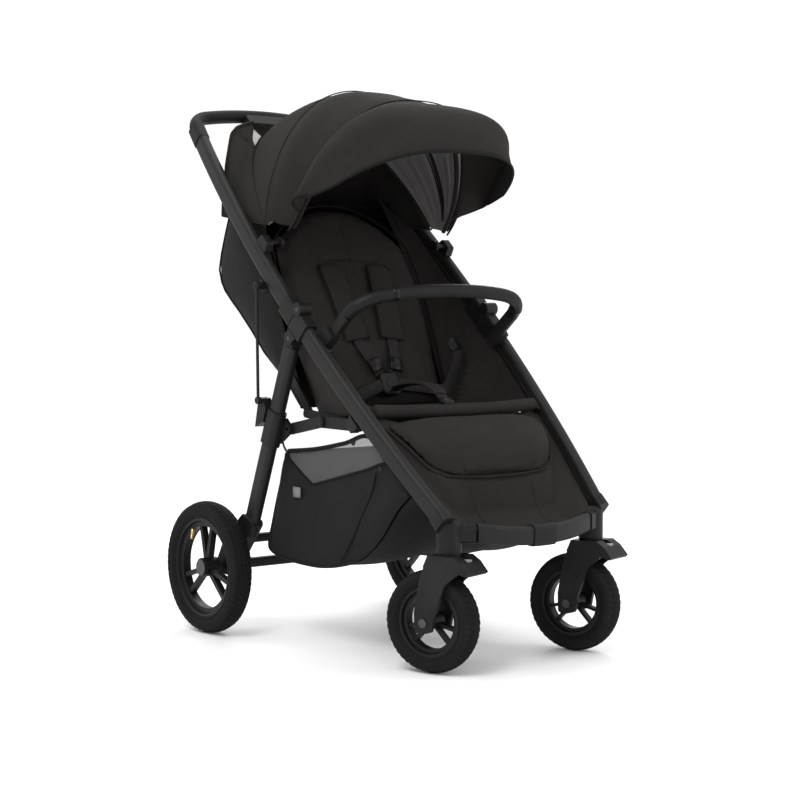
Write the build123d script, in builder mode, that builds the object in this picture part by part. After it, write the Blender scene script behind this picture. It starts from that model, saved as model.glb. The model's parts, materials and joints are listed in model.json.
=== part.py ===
from build123d import *
import os
from math import atan2, cos, degrees, hypot, radians, sin, sqrt

os.makedirs("parts", exist_ok=True)

# ---------------------------------------------------------------------------
# Driving dimensions, mm and degrees. +Z is up, the stroller faces -Y, and the
# origin is on the floor under the middle of the stroller.
# ---------------------------------------------------------------------------
gap = 0.5  # standard clearance between pieces that move past each other
running = 0.05  # radial clearance of a pin or shaft in its bore

# side tubes: a shallow outward bow lying in one sloping plane
foot_y, foot_z = -385.0, 278.6  # where the sloping plane meets the front corners
frame_slope = 42.92
tube_w, tube_d, tube_r = 22.0, 36.0, 9.5
tube_wall = 1.8
bow_radius = 3465.0
bow_peak = 547.4  # distance up the slope where the tubes are widest apart
bow_half = 233.05
lower_end, upper_start = 499.0, 526.0
upper_end = 1086.0

# folding hinge between lower and upper tubes
hinge_v, hinge_n = 512.4, 24.0
hinge_pin_r = 4.0
knuckle_r = 13.0
collar_low, collar_high = 468.0, 556.0
collar_wall = 3.0

# handle
grip_d = 28.0
handle_core_d = 20.0
cross_half, cross_v, cross_top_v = 150.0, 1124.5, 1140.6

# rear legs
leg_x = 233.0
leg_pivot_y, leg_pivot_z = 2.0, 590.0
leg_end_y, leg_end_z = 155.0, 203.0
leg_w, leg_d = 22.0, 35.0
leg_lug_r = 13.5

# rear wheels
rear_axle_y = 235.0
rear_wheel_r, rear_wheel_x, rear_tyre_w = 131.4, 278.0, 45.0
rear_rim_r = 98.0

# front wheels and their swivels
front_wheel_r, front_tyre_w, front_rim_r = 92.7, 46.0, 63.0
swivel_x, swivel_y, swivel_trail, swivel_yaw = 174.0, -387.0, 33.0, 17.0
socket_bottom = 217.0

# canopy
canopy_y, canopy_z = 102.5, 774.5
canopy_half, canopy_r, canopy_shoulder = 218.5, 321.0, 148.0
canopy_skin = 4.0

# seat
seat_half = 190.0


# ---------------------------------------------------------------------------
# Shared planes and shapes
# ---------------------------------------------------------------------------
slope_c, slope_s = cos(radians(frame_slope)), sin(radians(frame_slope))
# local x is X, local y runs up the slope, local z stands off the tubes to the front
frame_plane = Plane(origin=(0, foot_y, foot_z), x_dir=(1, 0, 0), z_dir=(0, -slope_s, slope_c))


def bow_x(v):
    """Distance of a side tube's centre line from the middle, v up the slope."""
    return bow_half - bow_radius + sqrt(bow_radius**2 - (v - bow_peak) ** 2)


def frame_yz(v, n):
    """Y and Z of a point v up the slope and n off the tube plane."""
    return foot_y + v * slope_c - n * slope_s, foot_z + v * slope_s + n * slope_c


def side_plane(x):
    """Plane across the stroller: local x is Y, local y is Z, normal is +X."""
    return Plane(origin=(x, 0, 0), x_dir=(0, 1, 0), z_dir=(1, 0, 0))


def frame_side_plane(x):
    """Like side_plane, but local x runs up the slope and local y stands off it."""
    return Plane(origin=(x, foot_y, foot_z), x_dir=(0, slope_c, slope_s), z_dir=(1, 0, 0))


def save(piece, label):
    piece.part.label = label
    export_step(piece.part, f"parts/{label}.step")


def side_tube(side, v0, v1, width=tube_w, depth=tube_d, corner=tube_r, wall=0.0):
    """Piece of a bowed side tube from v0 to v1, hollow where a wall is given."""
    vm = (v0 + v1) / 2
    with BuildPart() as tube:
        with BuildLine(frame_plane) as path:
            ThreePointArc(
                (side * bow_x(v0), v0), (side * bow_x(vm), vm), (side * bow_x(v1), v1)
            )
        with BuildSketch(Plane(origin=path.line @ 0, x_dir=(1, 0, 0), z_dir=path.line % 0)):
            RectangleRounded(width, depth, corner)
            if wall:
                RectangleRounded(
                    width - 2 * wall, depth - 2 * wall, corner - wall, mode=Mode.SUBTRACT
                )
        sweep()
    return tube.part


def x_cylinder(y, z, radius, x0, x1):
    """Cylinder along X from x0 to x1."""
    with BuildPart() as rod:
        with BuildSketch(side_plane(min(x0, x1))):
            with Locations((y, z)):
                Circle(radius)
        extrude(amount=abs(x1 - x0))
    return rod.part


def yz_plate(points, x0, x1, corner=0.0):
    """Flat plate with a polygon outline in Y and Z, from x0 to x1."""
    with BuildPart() as plate:
        with BuildSketch(side_plane(min(x0, x1))):
            with BuildLine():
                if corner:
                    FilletPolyline(*points, radius=corner, close=True)
                else:
                    Polyline(*points, close=True)
            make_face()
        extrude(amount=abs(x1 - x0))
    return plate.part


def frame_plate(points, x0, x1, corner=0.0):
    """Flat plate with a polygon outline in slope coordinates, from x0 to x1."""
    return yz_plate([frame_yz(v, n) for v, n in points], x0, x1, corner)


def mirrored(part):
    """The left-hand copy of a right-hand piece."""
    return part.mirror(Plane.YZ)


def pair(part):
    """A piece and its mirror image, kept as two solids."""
    with BuildPart() as both:
        add(part)
        add(mirrored(part))
    return both


hinge_y, hinge_z = frame_yz(hinge_v, hinge_n)
sides = {"right": 1, "left": -1}

# ---------------------------------------------------------------------------
# Lower frame: side tubes, corner castings, front bar
# ---------------------------------------------------------------------------
casting_v = 10.0  # where the tube leaves its corner casting
save(pair(side_tube(1, casting_v, lower_end, wall=tube_wall)), "front_tubes")

bar_end_x, bar_end_y, bar_end_z = 136.0, -414.0, 252.0
bar_mid_y, bar_mid_z = -440.0, 241.0
bar_w, bar_h = 20.0, 34.0
cover_half = 26.0


def front_bar_piece(width, height, corner, x_from, x_to):
    """Length of the bowed front bar between two X stations."""
    with BuildPart() as bar:
        with BuildLine() as path:
            ThreePointArc(
                (-bar_end_x, bar_end_y, bar_end_z),
                (0, bar_mid_y, bar_mid_z),
                (bar_end_x, bar_end_y, bar_end_z),
            )
        with BuildSketch(Plane(origin=path.line @ 0, x_dir=(0, 0, 1), z_dir=path.line % 0)):
            RectangleRounded(height, width, corner)
        sweep()
        with BuildSketch(Plane.XY.offset(150)):
            with Locations(((x_from + x_to) / 2, bar_end_y)):
                Rectangle(x_to - x_from, 200)
        extrude(amount=200, mode=Mode.INTERSECT)
    return bar.part


with BuildPart() as front_bar:
    add(front_bar_piece(bar_w, bar_h, 7, -bar_end_x, bar_end_x))
save(front_bar, "front_bar")

with BuildPart() as front_bar_cover:
    add(front_bar_piece(bar_w + 5, bar_h + 5, 8, -cover_half, cover_half))
    add(front_bar.part, mode=Mode.SUBTRACT)
save(front_bar_cover, "front_bar_cover")

stem_r = 8.0
tube_end = Vector(bow_x(casting_v), *frame_yz(casting_v, 0))
bar_end = Vector(bar_end_x, bar_end_y, bar_end_z)
bar_root = Vector(swivel_x + 4, swivel_y - 2, bar_end_z)
with BuildPart() as corner_casting:
    # upright swivel socket
    with BuildSketch(Plane.XY.offset(socket_bottom)):
        with Locations((swivel_x, swivel_y)):
            Circle(23)
    extrude(amount=60)
    fillet(corner_casting.edges().group_by(Axis.Z)[-1], 12)
    # arm up to the side tube
    with BuildSketch(Plane(origin=tube_end, x_dir=(1, 0, 0), z_dir=(0, -slope_c, -slope_s))):
        RectangleRounded(tube_w + 3, tube_d + 3, tube_r)
    extrude(amount=26)
    # arm across to the front bar
    with BuildLine():
        Line(bar_end, bar_root)
    with BuildSketch(Plane(origin=bar_end, x_dir=(0, 0, 1), z_dir=bar_root - bar_end)):
        RectangleRounded(bar_h + 2, bar_w + 4, 7)
    sweep()
    # the tube stands on the casting, and the bar is let into it
    add(side_tube(1, 4, 60), mode=Mode.SUBTRACT)
    add(front_bar.part, mode=Mode.SUBTRACT)
    # bore for the swivel stem
    with BuildSketch(Plane.XY.offset(socket_bottom)):
        with Locations((swivel_x, swivel_y)):
            Circle(stem_r + running)
    extrude(amount=34, mode=Mode.SUBTRACT)
save(pair(corner_casting.part), "corner_castings")

# ---------------------------------------------------------------------------
# Folding hinge
# ---------------------------------------------------------------------------
hinge_x = bow_x(hinge_v)
collar_in = hinge_x - tube_w / 2 - collar_wall
collar_out = hinge_x + tube_w / 2 + collar_wall
collar_top, collar_under = 22.0, -21.0
half_slit = 1.0


def collar(v0, v1, disc_x0, disc_x1, free_x0, free_x1):
    """One half of the hinge: a collar on the tube with its knuckle disc."""
    with BuildPart() as half:
        add(
            frame_plate(
                [(v0, collar_under), (v1, collar_under), (v1, collar_top), (v0, collar_top)],
                collar_in,
                collar_out,
                corner=0,
            )
        )
        fillet(half.edges().filter_by(frame_along), 5)
        add(x_cylinder(hinge_y, hinge_z, knuckle_r + gap, free_x0, free_x1), mode=Mode.SUBTRACT)
        add(x_cylinder(hinge_y, hinge_z, knuckle_r, disc_x0, disc_x1))
    return half.part


def frame_along(edge):
    """True for straight edges that run up the slope."""
    if edge.geom_type != GeomType.LINE:
        return False
    run = edge % 0.5
    return abs(run.Y * slope_c + run.Z * slope_s) > 0.99


rod_a_v, rod_a_n = 632.3, -26.0
strut_m_v, strut_m_n = 258.7, -31.5
cheek_t, lug_half = 3.2, 10.0

with BuildPart() as lower_collar:
    add(
        collar(
            collar_low, hinge_v - half_slit,
            collar_in, hinge_x - gap / 2,
            hinge_x - gap / 2, collar_out + 1,
        )
    )
    # cheeks that carry the rear leg's pivot
    for x0, x1 in (
        (leg_x - lug_half - gap - cheek_t, leg_x - lug_half - gap),
        (leg_x + lug_half + gap, leg_x + lug_half + gap + cheek_t),
    ):
        with BuildSketch(side_plane(x0)):
            with BuildLine():
                Polyline(
                    frame_yz(hinge_v - 3, collar_under + 1),
                    frame_yz(hinge_v - 34, collar_under + 1),
                    (leg_pivot_y - 12, leg_pivot_z - 6),
                    (leg_pivot_y + 12, leg_pivot_z - 6),
                    close=True,
                )
            make_face()
            with Locations((leg_pivot_y, leg_pivot_z)):
                Circle(13.6)
        extrude(amount=x1 - x0)
    add(side_tube(1, collar_low - 10, lower_end), mode=Mode.SUBTRACT)
    add(x_cylinder(hinge_y, hinge_z, hinge_pin_r, 200, 260), mode=Mode.SUBTRACT)
    add(x_cylinder(leg_pivot_y, leg_pivot_z, hinge_pin_r, 200, 260), mode=Mode.SUBTRACT)

with BuildPart() as upper_collar:
    add(
        collar(
            hinge_v + half_slit, collar_high,
            hinge_x + gap / 2, collar_out,
            collar_in - 1, hinge_x + gap / 2,
        )
    )
    add(side_tube(1, upper_start, collar_high + 10), mode=Mode.SUBTRACT)
    add(
        x_cylinder(hinge_y, hinge_z, hinge_pin_r + running, 200, 260), mode=Mode.SUBTRACT
    )

save(pair(lower_collar.part), "hinge_housings")
save(pair(upper_collar.part), "hinge_caps")


def headed_pin(y, z, radius, x0, x1, head_r, head_t=2.5):
    """Pin along X with a low domed head on its inner end."""
    with BuildPart() as pin:
        add(x_cylinder(y, z, radius, x0, x1))
        add(x_cylinder(y, z, head_r, x0 - head_t, x0))
    return pin.part


with BuildPart() as right_pins:
    add(headed_pin(hinge_y, hinge_z, hinge_pin_r, collar_in, collar_out, 7))
    add(
        headed_pin(
            leg_pivot_y, leg_pivot_z, hinge_pin_r,
            leg_x - lug_half - gap - cheek_t, leg_x + lug_half + gap + cheek_t, 7,
        )
    )
save(pair(right_pins.part), "hinge_pins")

# ---------------------------------------------------------------------------
# Upper frame: side tubes, handle core and grip
# ---------------------------------------------------------------------------
save(pair(side_tube(1, upper_start, upper_end - 3, wall=tube_wall)), "upper_tubes")


def handle_sweep(diameter, bore=0.0):
    """Round bar over the top of the handle, from one side tube to the other."""
    end = (bow_x(upper_end), upper_end)
    with BuildPart() as bar:
        with BuildLine(frame_plane) as path:
            cross = ThreePointArc((-cross_half, cross_v), (0, cross_top_v), (cross_half, cross_v))
            TangentArc(cross @ 1, end, tangent=cross % 1)
            TangentArc(
                cross @ 0, (-end[0], end[1]), tangent=(cross % 0) * -1
            )
        start = path.wires()[0]
        with BuildSketch(Plane(origin=start @ 0, z_dir=start % 0)):
            Circle(diameter / 2)
            if bore:
                Circle(bore / 2, mode=Mode.SUBTRACT)
        sweep(path=start)
    return bar.part


with BuildPart() as handle_core:
    add(handle_sweep(handle_core_d, handle_core_d - 3))
save(handle_core, "handle_core")

grip_collar = 44.0  # length of the grip's moulded ends over the side tubes
with BuildPart() as handle_grip:
    add(handle_sweep(grip_d, handle_core_d))
    for side in (1, -1):
        add(side_tube(side, upper_end - grip_collar, upper_end + 2, tube_w + 4, tube_d + 1, tube_r))
        add(side_tube(side, upper_end - grip_collar - 1, upper_end), mode=Mode.SUBTRACT)
    add(handle_core.part, mode=Mode.SUBTRACT)
save(handle_grip, "handle_grip")

# fold trigger under the middle of the handle
trigger_low, trigger_high = 1091.0, 1127.5
with BuildPart() as trigger_housing:
    with BuildSketch(frame_plane.offset(-15)):
        with Locations((0, (trigger_low + trigger_high) / 2)):
            RectangleRounded(112, trigger_high - trigger_low, 9)
    extrude(amount=30)
    # pocket for the sliding trigger, open towards the seat
    with BuildSketch(frame_plane.offset(-9)):
        with Locations((0, trigger_low + 8)):
            Rectangle(77, 24)
    extrude(amount=18, mode=Mode.SUBTRACT)
    add(handle_grip.part, mode=Mode.SUBTRACT)
    add(handle_core.part, mode=Mode.SUBTRACT)
save(trigger_housing, "trigger_housing")

with BuildPart() as fold_trigger:
    with BuildSketch(frame_plane.offset(-8.5)):
        with Locations((0, trigger_low)):
            RectangleRounded(76, 20, 4)
    extrude(amount=17)
save(fold_trigger, "fold_trigger")

# ---------------------------------------------------------------------------
# Rear legs, their feet and the cross bars
# ---------------------------------------------------------------------------
leg_run_y, leg_run_z = leg_end_y - leg_pivot_y, leg_end_z - leg_pivot_z
leg_len = hypot(leg_run_y, leg_run_z)
leg_uy, leg_uz = leg_run_y / leg_len, leg_run_z / leg_len


def leg_point(along, across=0.0):
    """Y and Z of a point along the leg from its pivot, across it to the rear."""
    return (
        leg_pivot_y + along * leg_uy - across * leg_uz,
        leg_pivot_z + along * leg_uz + across * leg_uy,
    )


def leg_plane(x, along):
    """Plane square to the leg: local x is X, local y points to the rear."""
    y, z = leg_point(along)
    return Plane(origin=(x, y, z), x_dir=(1, 0, 0), z_dir=(0, leg_uy, leg_uz))


tube_from = 17.0
with BuildPart() as leg_form:
    with BuildSketch(leg_plane(leg_x, tube_from)):
        RectangleRounded(leg_w, leg_d, 9.5)
    extrude(amount=leg_len - tube_from)

with BuildPart() as rear_leg:
    add(leg_form.part)
    with BuildSketch(leg_plane(leg_x, tube_from + 20)):
        RectangleRounded(leg_w - 2 * tube_wall, leg_d - 2 * tube_wall, 9.5 - tube_wall)
    extrude(amount=leg_len, mode=Mode.SUBTRACT)
    add(x_cylinder(leg_pivot_y, leg_pivot_z, leg_lug_r, leg_x - lug_half, leg_x + lug_half))
    with BuildSketch(leg_plane(leg_x, 0)):
        Rectangle(2 * lug_half, 2 * leg_lug_r)
    extrude(amount=tube_from + 1)
    add(
        x_cylinder(leg_pivot_y, leg_pivot_z, hinge_pin_r + running, 200, 260),
        mode=Mode.SUBTRACT,
    )
save(pair(rear_leg.part), "rear_legs")

foot_half = 13.0
axle_r, axle_end = 6.0, 296.0
bar_x = leg_x - foot_half
brake_y, brake_z = 215.0, 184.0
with BuildPart() as rear_foot:
    add(
        yz_plate(
            [
                leg_point(leg_len - 34, -22),
                leg_point(leg_len - 34, 22),
                (brake_y + 14, brake_z + 4),
                (rear_axle_y + 22, rear_wheel_r + 10),
                (rear_axle_y + 20, rear_wheel_r - 16),
                (rear_axle_y - 18, rear_wheel_r - 18),
                (rear_axle_y - 62, rear_wheel_r + 34),
            ],
            leg_x - foot_half,
            leg_x + foot_half,
            corner=8,
        )
    )
    fillet(rear_foot.faces().sort_by(Axis.X)[-1].edges(), 2.5)
    add(leg_form.part, mode=Mode.SUBTRACT)
    add(x_cylinder(rear_axle_y, rear_wheel_r, axle_r, 200, 260), mode=Mode.SUBTRACT)
save(pair(rear_foot.part), "rear_feet")


def cross_tube(y, z, height, width, half):
    """Hollow bar across the stroller between the feet."""
    with BuildPart() as bar:
        with BuildSketch(side_plane(-half)):
            with Locations((y, z)):
                RectangleRounded(width, height, 6)
                RectangleRounded(width - 3, height - 3, 4.5, mode=Mode.SUBTRACT)
        extrude(amount=2 * half)
    return bar.part


pedal_y, pedal_z = brake_y + 15.0, brake_z
with BuildPart() as rear_cross_bars:
    add(cross_tube(rear_axle_y, rear_wheel_r, 20, 18, bar_x))
    add(cross_tube(brake_y, brake_z, 18, 18, bar_x))
    # two ears and a pin carry the brake pedal
    for x in (-36, 30):
        add(
            yz_plate(
                [(brake_y + 8.5, brake_z - 8), (brake_y + 8.5, brake_z + 8),
                 (pedal_y + 5, pedal_z + 6), (pedal_y + 5, pedal_z - 6)],
                x, x + 6,
            )
        )
    add(x_cylinder(pedal_y, pedal_z, 2.5, -36, 36))
save(rear_cross_bars, "rear_cross_bars")
with BuildPart() as brake_pedal:
    add(x_cylinder(pedal_y, pedal_z, 5.5, -29.5, 29.5))
    add(
        yz_plate(
            [(pedal_y, pedal_z + 5.4), (pedal_y + 46, pedal_z + 9), (pedal_y + 48, pedal_z + 4),
             (pedal_y + 2, pedal_z - 4)],
            -29.5, 29.5,
        )
    )
    add(x_cylinder(pedal_y, pedal_z, 2.5 + running, -40, 40), mode=Mode.SUBTRACT)
save(brake_pedal, "brake_pedal")

# sleeve on the leg: carries the seat strut in front and the fold rod behind
sleeve_from, sleeve_to = 151.0, 221.0
strut_s_y, strut_s_z = 36.0, 415.0
rod_s_y, rod_s_z = 92.0, 469.0
rod_x0, rod_x1 = 250.8, 257.8
strut_bolt_r = 4.0
with BuildPart() as leg_sleeve:
    with BuildSketch(leg_plane(leg_x, sleeve_from)):
        RectangleRounded(leg_w + 7, leg_d + 7, 12)
    extrude(amount=sleeve_to - sleeve_from)
    add(
        yz_plate(
            [leg_point(sleeve_from + 8, -19), leg_point(sleeve_to - 8, -19),
             (strut_s_y - 6, strut_s_z - 8), (strut_s_y - 10, strut_s_z + 2),
             (strut_s_y - 4, strut_s_z + 10)],
            leg_x - 14.5, leg_x - 7,
        )
    )
    add(
        yz_plate(
            [leg_point(sleeve_from + 30, 16), leg_point(sleeve_from + 2, 16),
             (rod_s_y - 8, rod_s_z + 4), (rod_s_y + 6, rod_s_z + 6),
             (rod_s_y + 8, rod_s_z - 6), (rod_s_y + 18, rod_s_z - 52)],
            leg_x - 3, rod_x0 - 1,
        )
    )
    add(leg_form.part, mode=Mode.SUBTRACT)
    add(x_cylinder(strut_s_y, strut_s_z, strut_bolt_r, 215, 245), mode=Mode.SUBTRACT)
save(pair(leg_sleeve.part), "leg_sleeves")

# ---------------------------------------------------------------------------
# Seat struts: two hinged links on each side, and the fold rods
# ---------------------------------------------------------------------------
strut_m_y, strut_m_z = frame_yz(strut_m_v, strut_m_n)
recline_y, recline_z = 2.0, 446.0
rail_x0, rail_x1 = 199.0, 206.0
knee_y, knee_z = -58.0, 433.0
front_link_x0, front_link_x1 = 208.6, 212.6
rear_link_x0, rear_link_x1 = 213.1, 217.3
link_r = 11.0
knee_head = 0.7  # height of the knee rivet's flat head


def link(y0, z0, y1, z1, x0, x1, radius):
    """Flat bar with round ends between two pivots."""
    with BuildPart() as bar:
        with BuildSketch(side_plane(x0)):
            with BuildLine():
                Line((y0, z0), (y1, z1))
            with Locations(((y0 + y1) / 2, (z0 + z1) / 2)):
                SlotCenterToCenter(
                    hypot(y1 - y0, z1 - z0), 2 * radius, rotation=degrees(atan2(z1 - z0, y1 - y0))
                )
        extrude(amount=x1 - x0)
    return bar.part


with BuildPart() as strut_front:
    add(link(strut_m_y, strut_m_z, knee_y, knee_z, front_link_x0, front_link_x1, link_r))
    add(x_cylinder(strut_m_y, strut_m_z, 4 + running, rail_x1, 230), mode=Mode.SUBTRACT)
    add(x_cylinder(knee_y, knee_z, 4, front_link_x0, rear_link_x1 + knee_head))
    add(x_cylinder(knee_y, knee_z, 7.5, rear_link_x1 + running, rear_link_x1 + knee_head))
save(pair(strut_front.part), "strut_front_links")

with BuildPart() as strut_rear:
    add(link(knee_y, knee_z, strut_s_y, strut_s_z, rear_link_x0, rear_link_x1, link_r))
    for y, z in ((knee_y, knee_z), (strut_s_y, strut_s_z)):
        add(x_cylinder(y, z, 4 + running, rail_x1, 240), mode=Mode.SUBTRACT)
save(pair(strut_rear.part), "strut_rear_links")

with BuildPart() as seat_rail:
    # rail under the side of the seat, from the front tube back to the recline pivot
    add(link(strut_m_y, strut_m_z, recline_y, recline_z, rail_x0, rail_x1, 8))
    add(
        frame_plate(
            [(strut_m_v - 15, strut_m_n - 4), (strut_m_v + 15, strut_m_n - 4),
             (strut_m_v + 15, 8), (strut_m_v - 15, 8)],
            rail_x0, rail_x1,
        )
    )
    # shelf that carries the rail on the inside of the tube, above the strut's pivot
    add(
        frame_plate(
            [(strut_m_v - 15, strut_m_n + link_r + 1), (strut_m_v + 15, strut_m_n + link_r + 1),
             (strut_m_v + 15, 8), (strut_m_v - 15, 8)],
            rail_x0, rail_x1 + 10,
        )
    )
    add(side_tube(1, strut_m_v - 60, strut_m_v + 60), mode=Mode.SUBTRACT)
    add(x_cylinder(recline_y, recline_z, 5, 192, rail_x0))
    # pivot of the strut, carried by a lug under the tube
    add(x_cylinder(strut_m_y, strut_m_z, 4, rail_x1, 231))
    add(
        frame_plate(
            [(strut_m_v - 16, -18.6), (strut_m_v + 16, -18.6), (strut_m_v + 9, strut_m_n - 9),
             (strut_m_v - 9, strut_m_n - 9)],
            front_link_x1 + gap, 231,
        )
    )
    add(side_tube(1, strut_m_v - 60, strut_m_v + 60), mode=Mode.SUBTRACT)
save(pair(seat_rail.part), "seat_rails")

rod_a_y, rod_a_z = frame_yz(rod_a_v, rod_a_n)
rod_d = 6.0
with BuildPart() as fold_rod:
    add(x_cylinder(rod_a_y, rod_a_z, 8, rod_x0, rod_x1))
    add(x_cylinder(rod_s_y, rod_s_z, 7, rod_x0, rod_x1))
    rod_mid_x = (rod_x0 + rod_x1) / 2
    with BuildSketch(
        Plane(
            origin=(rod_mid_x, rod_s_y, rod_s_z),
            x_dir=(1, 0, 0),
            z_dir=(0, rod_a_y - rod_s_y, rod_a_z - rod_s_z),
        )
    ):
        Circle(rod_d / 2)
    extrude(amount=hypot(rod_a_y - rod_s_y, rod_a_z - rod_s_z))
    add(x_cylinder(rod_a_y, rod_a_z, 4 + running, 240, 262), mode=Mode.SUBTRACT)
save(pair(fold_rod.part), "fold_rods")

with BuildPart() as rod_bracket:
    add(
        frame_plate(
            [(rod_a_v - 18, -18.5), (rod_a_v + 18, -18.5), (rod_a_v + 9, rod_a_n - 9),
             (rod_a_v - 9, rod_a_n - 9)],
            226, 240,
        )
    )
    add(x_cylinder(rod_a_y, rod_a_z, 7.5, 240, rod_x0 - gap))
    add(x_cylinder(rod_a_y, rod_a_z, 4, 240, rod_x1 + 1))
    add(side_tube(1, rod_a_v - 60, rod_a_v + 60), mode=Mode.SUBTRACT)
save(pair(rod_bracket.part), "rod_brackets")


# ---------------------------------------------------------------------------
# Wheels
# ---------------------------------------------------------------------------
def ring(plane, profile, half_width):
    """Wheel ring turned about the plane's normal: profile is (x, radius) points."""
    with BuildPart() as body:
        with BuildSketch(Plane(origin=plane.origin, x_dir=plane.z_dir, z_dir=plane.y_dir * -1)):
            with BuildLine():
                Polyline(*[(a * half_width, r) for a, r in profile], close=True)
            make_face()
        revolve(axis=Axis(plane.origin, plane.z_dir))
    return body.part


def tyre(plane, radius, inner, width):
    """Round-shouldered tyre with a flat tread."""
    h = width / 2
    with BuildPart() as body:
        with BuildSketch(Plane(origin=plane.origin, x_dir=plane.z_dir, z_dir=plane.y_dir * -1)):
            with BuildLine():
                crown = ThreePointArc((-h * 0.62, radius - 3.5), (0, radius), (h * 0.62, radius - 3.5))
                side_a = ThreePointArc(
                    crown @ 1, (h, radius - (radius - inner) * 0.45), (h * 0.72, inner)
                )
                base = Line(side_a @ 1, (-h * 0.72, inner))
                ThreePointArc(
                    base @ 1, (-h, radius - (radius - inner) * 0.45), crown @ 0
                )
            make_face()
        revolve(axis=Axis(plane.origin, plane.z_dir))
    return body.part


def spoked_rim(plane, outer, width, step, hub_r, hub_half, bore, spread, spoke_w):
    """Stepped rim with three paired spokes and a bored hub."""
    h = width / 2
    with BuildPart() as body:
        add(
            ring(
                plane,
                [(-1, outer), (-1, outer - 5), (-0.62, outer - 7), (-0.55, outer - step),
                 (0.55, outer - step), (0.62, outer - 7), (1, outer - 5), (1, outer)],
                h,
            )
        )
        with BuildSketch(plane.offset(-hub_half)):
            Circle(hub_r)
        extrude(amount=2 * hub_half)
        with BuildSketch(plane.offset(-h * 0.4)):
            with PolarLocations(0, 3, start_angle=90):
                for turn in (-spread, spread):
                    with Locations(Location((0, 0, 0), (0, 0, turn))):
                        with Locations(((hub_r + outer - step) / 2, 0)):
                            Rectangle(outer - step - hub_r + 8, spoke_w)
        extrude(amount=h * 0.8)
        with BuildSketch(plane.offset(-hub_half - 1)):
            Circle(bore)
        extrude(amount=2 * hub_half + 2, mode=Mode.SUBTRACT)
    return body.part


for name, side in sides.items():
    wheel_plane = Plane(
        origin=(side * rear_wheel_x, rear_axle_y, rear_wheel_r), x_dir=(0, side, 0), z_dir=(side, 0, 0)
    )
    with BuildPart() as rear_tyre:
        add(tyre(wheel_plane, rear_wheel_r, rear_rim_r, rear_tyre_w))
    save(rear_tyre, f"rear_tyre_{name}")
    with BuildPart() as rear_rim:
        add(spoked_rim(wheel_plane, rear_rim_r, 32, 16, 19, 17, axle_r + running, 13, 9))
    save(rear_rim, f"rear_rim_{name}")

with BuildPart() as axle_pin:
    add(x_cylinder(rear_axle_y, rear_wheel_r, axle_r, leg_x - foot_half, axle_end))
    add(x_cylinder(rear_axle_y, rear_wheel_r, 16, rear_wheel_x + 17 + gap, axle_end + 2))
save(pair(axle_pin.part), "rear_axle_pins")

fork_t = 7.0
crown_under = 192.0
fork_in = front_tyre_w / 2 + 3.0
for name, side in sides.items():
    caster = Plane(origin=(side * swivel_x, swivel_y, 0), x_dir=(1, 0, 0)).rotated((0, 0, swivel_yaw))

    def caster_side(across):
        """Plane across the wheel: local x trails behind the swivel, local y is up."""
        return Plane(
            origin=caster.from_local_coords(Vector(across, 0, 0)),
            x_dir=caster.y_dir,
            z_dir=caster.x_dir,
        )

    hub = caster.from_local_coords(Vector(0, swivel_trail, front_wheel_r))
    wheel_plane = Plane(origin=hub, x_dir=caster.y_dir, z_dir=caster.x_dir)

    with BuildPart() as front_tyre:
        add(tyre(wheel_plane, front_wheel_r, front_rim_r, front_tyre_w))
    save(front_tyre, f"front_tyre_{name}")
    with BuildPart() as front_rim:
        add(spoked_rim(wheel_plane, front_rim_r, 32, 13, 14, 19, 4 + running, 16, 6))
    save(front_rim, f"front_rim_{name}")

    with BuildPart() as fork:
        for across in (-fork_in - fork_t, fork_in):
            with BuildSketch(caster_side(across)):
                with BuildLine():
                    FilletPolyline(
                        (-26, socket_bottom - 3), (24, socket_bottom - 3), (41, 168), (52, 112),
                        (51, 76), (38, 72), (15, 78), (8, 112), (-12, 164), (-38, 184),
                        radius=6, close=True,
                    )
                make_face()
            extrude(amount=fork_t)
        # crown over the wheel with its forward lip
        with BuildSketch(caster_side(-fork_in - fork_t)):
            with BuildLine():
                Polyline(
                    (-30, socket_bottom - 3), (24, socket_bottom - 3), (34, crown_under), (-20, crown_under),
                    (-58, 181), (-62, 185), (-46, 204), close=True,
                )
            make_face()
        extrude(amount=2 * (fork_in + fork_t))
        # round collar under the casting
        with BuildSketch(caster.offset(socket_bottom - 3)):
            Circle(22)
        extrude(amount=3 - gap)
        with BuildSketch(caster.offset(150)):
            Circle(stem_r)
        extrude(amount=100, mode=Mode.SUBTRACT)
        with BuildSketch(caster_side(-fork_in - fork_t - 1)):
            with Locations((swivel_trail, front_wheel_r)):
                Circle(4)
        extrude(amount=2 * (fork_in + fork_t) + 2, mode=Mode.SUBTRACT)
        # seat for the swivel lock slider on the front of the crown
        with BuildSketch(caster_side(-8 - gap)):
            with Locations((-34, 206)):
                Rectangle(24, 20)
        extrude(amount=16 + 2 * gap, mode=Mode.SUBTRACT)
    save(fork, f"fork_{name}")

    # the upright swivel stem and the wheel's axle, two separate pins
    with BuildPart() as caster_pins:
        with BuildSketch(caster.offset(crown_under)):
            Circle(stem_r)
        extrude(amount=socket_bottom + 30 - crown_under)
        with BuildSketch(caster_side(-fork_in - fork_t)):
            with Locations((swivel_trail, front_wheel_r)):
                Circle(4)
        extrude(amount=2 * (fork_in + fork_t))
        for across in (-fork_in - fork_t - 2, fork_in + fork_t):
            with BuildSketch(caster_side(across)):
                with Locations((swivel_trail, front_wheel_r)):
                    Circle(8)
            extrude(amount=2)
    save(caster_pins, f"caster_pins_{name}")

    with BuildPart() as swivel_lock:
        with BuildSketch(caster_side(-8)):
            with Locations((-38, 203)):
                Rectangle(12, 9)
        extrude(amount=16)
    save(swivel_lock, f"swivel_lock_{name}")

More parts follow.
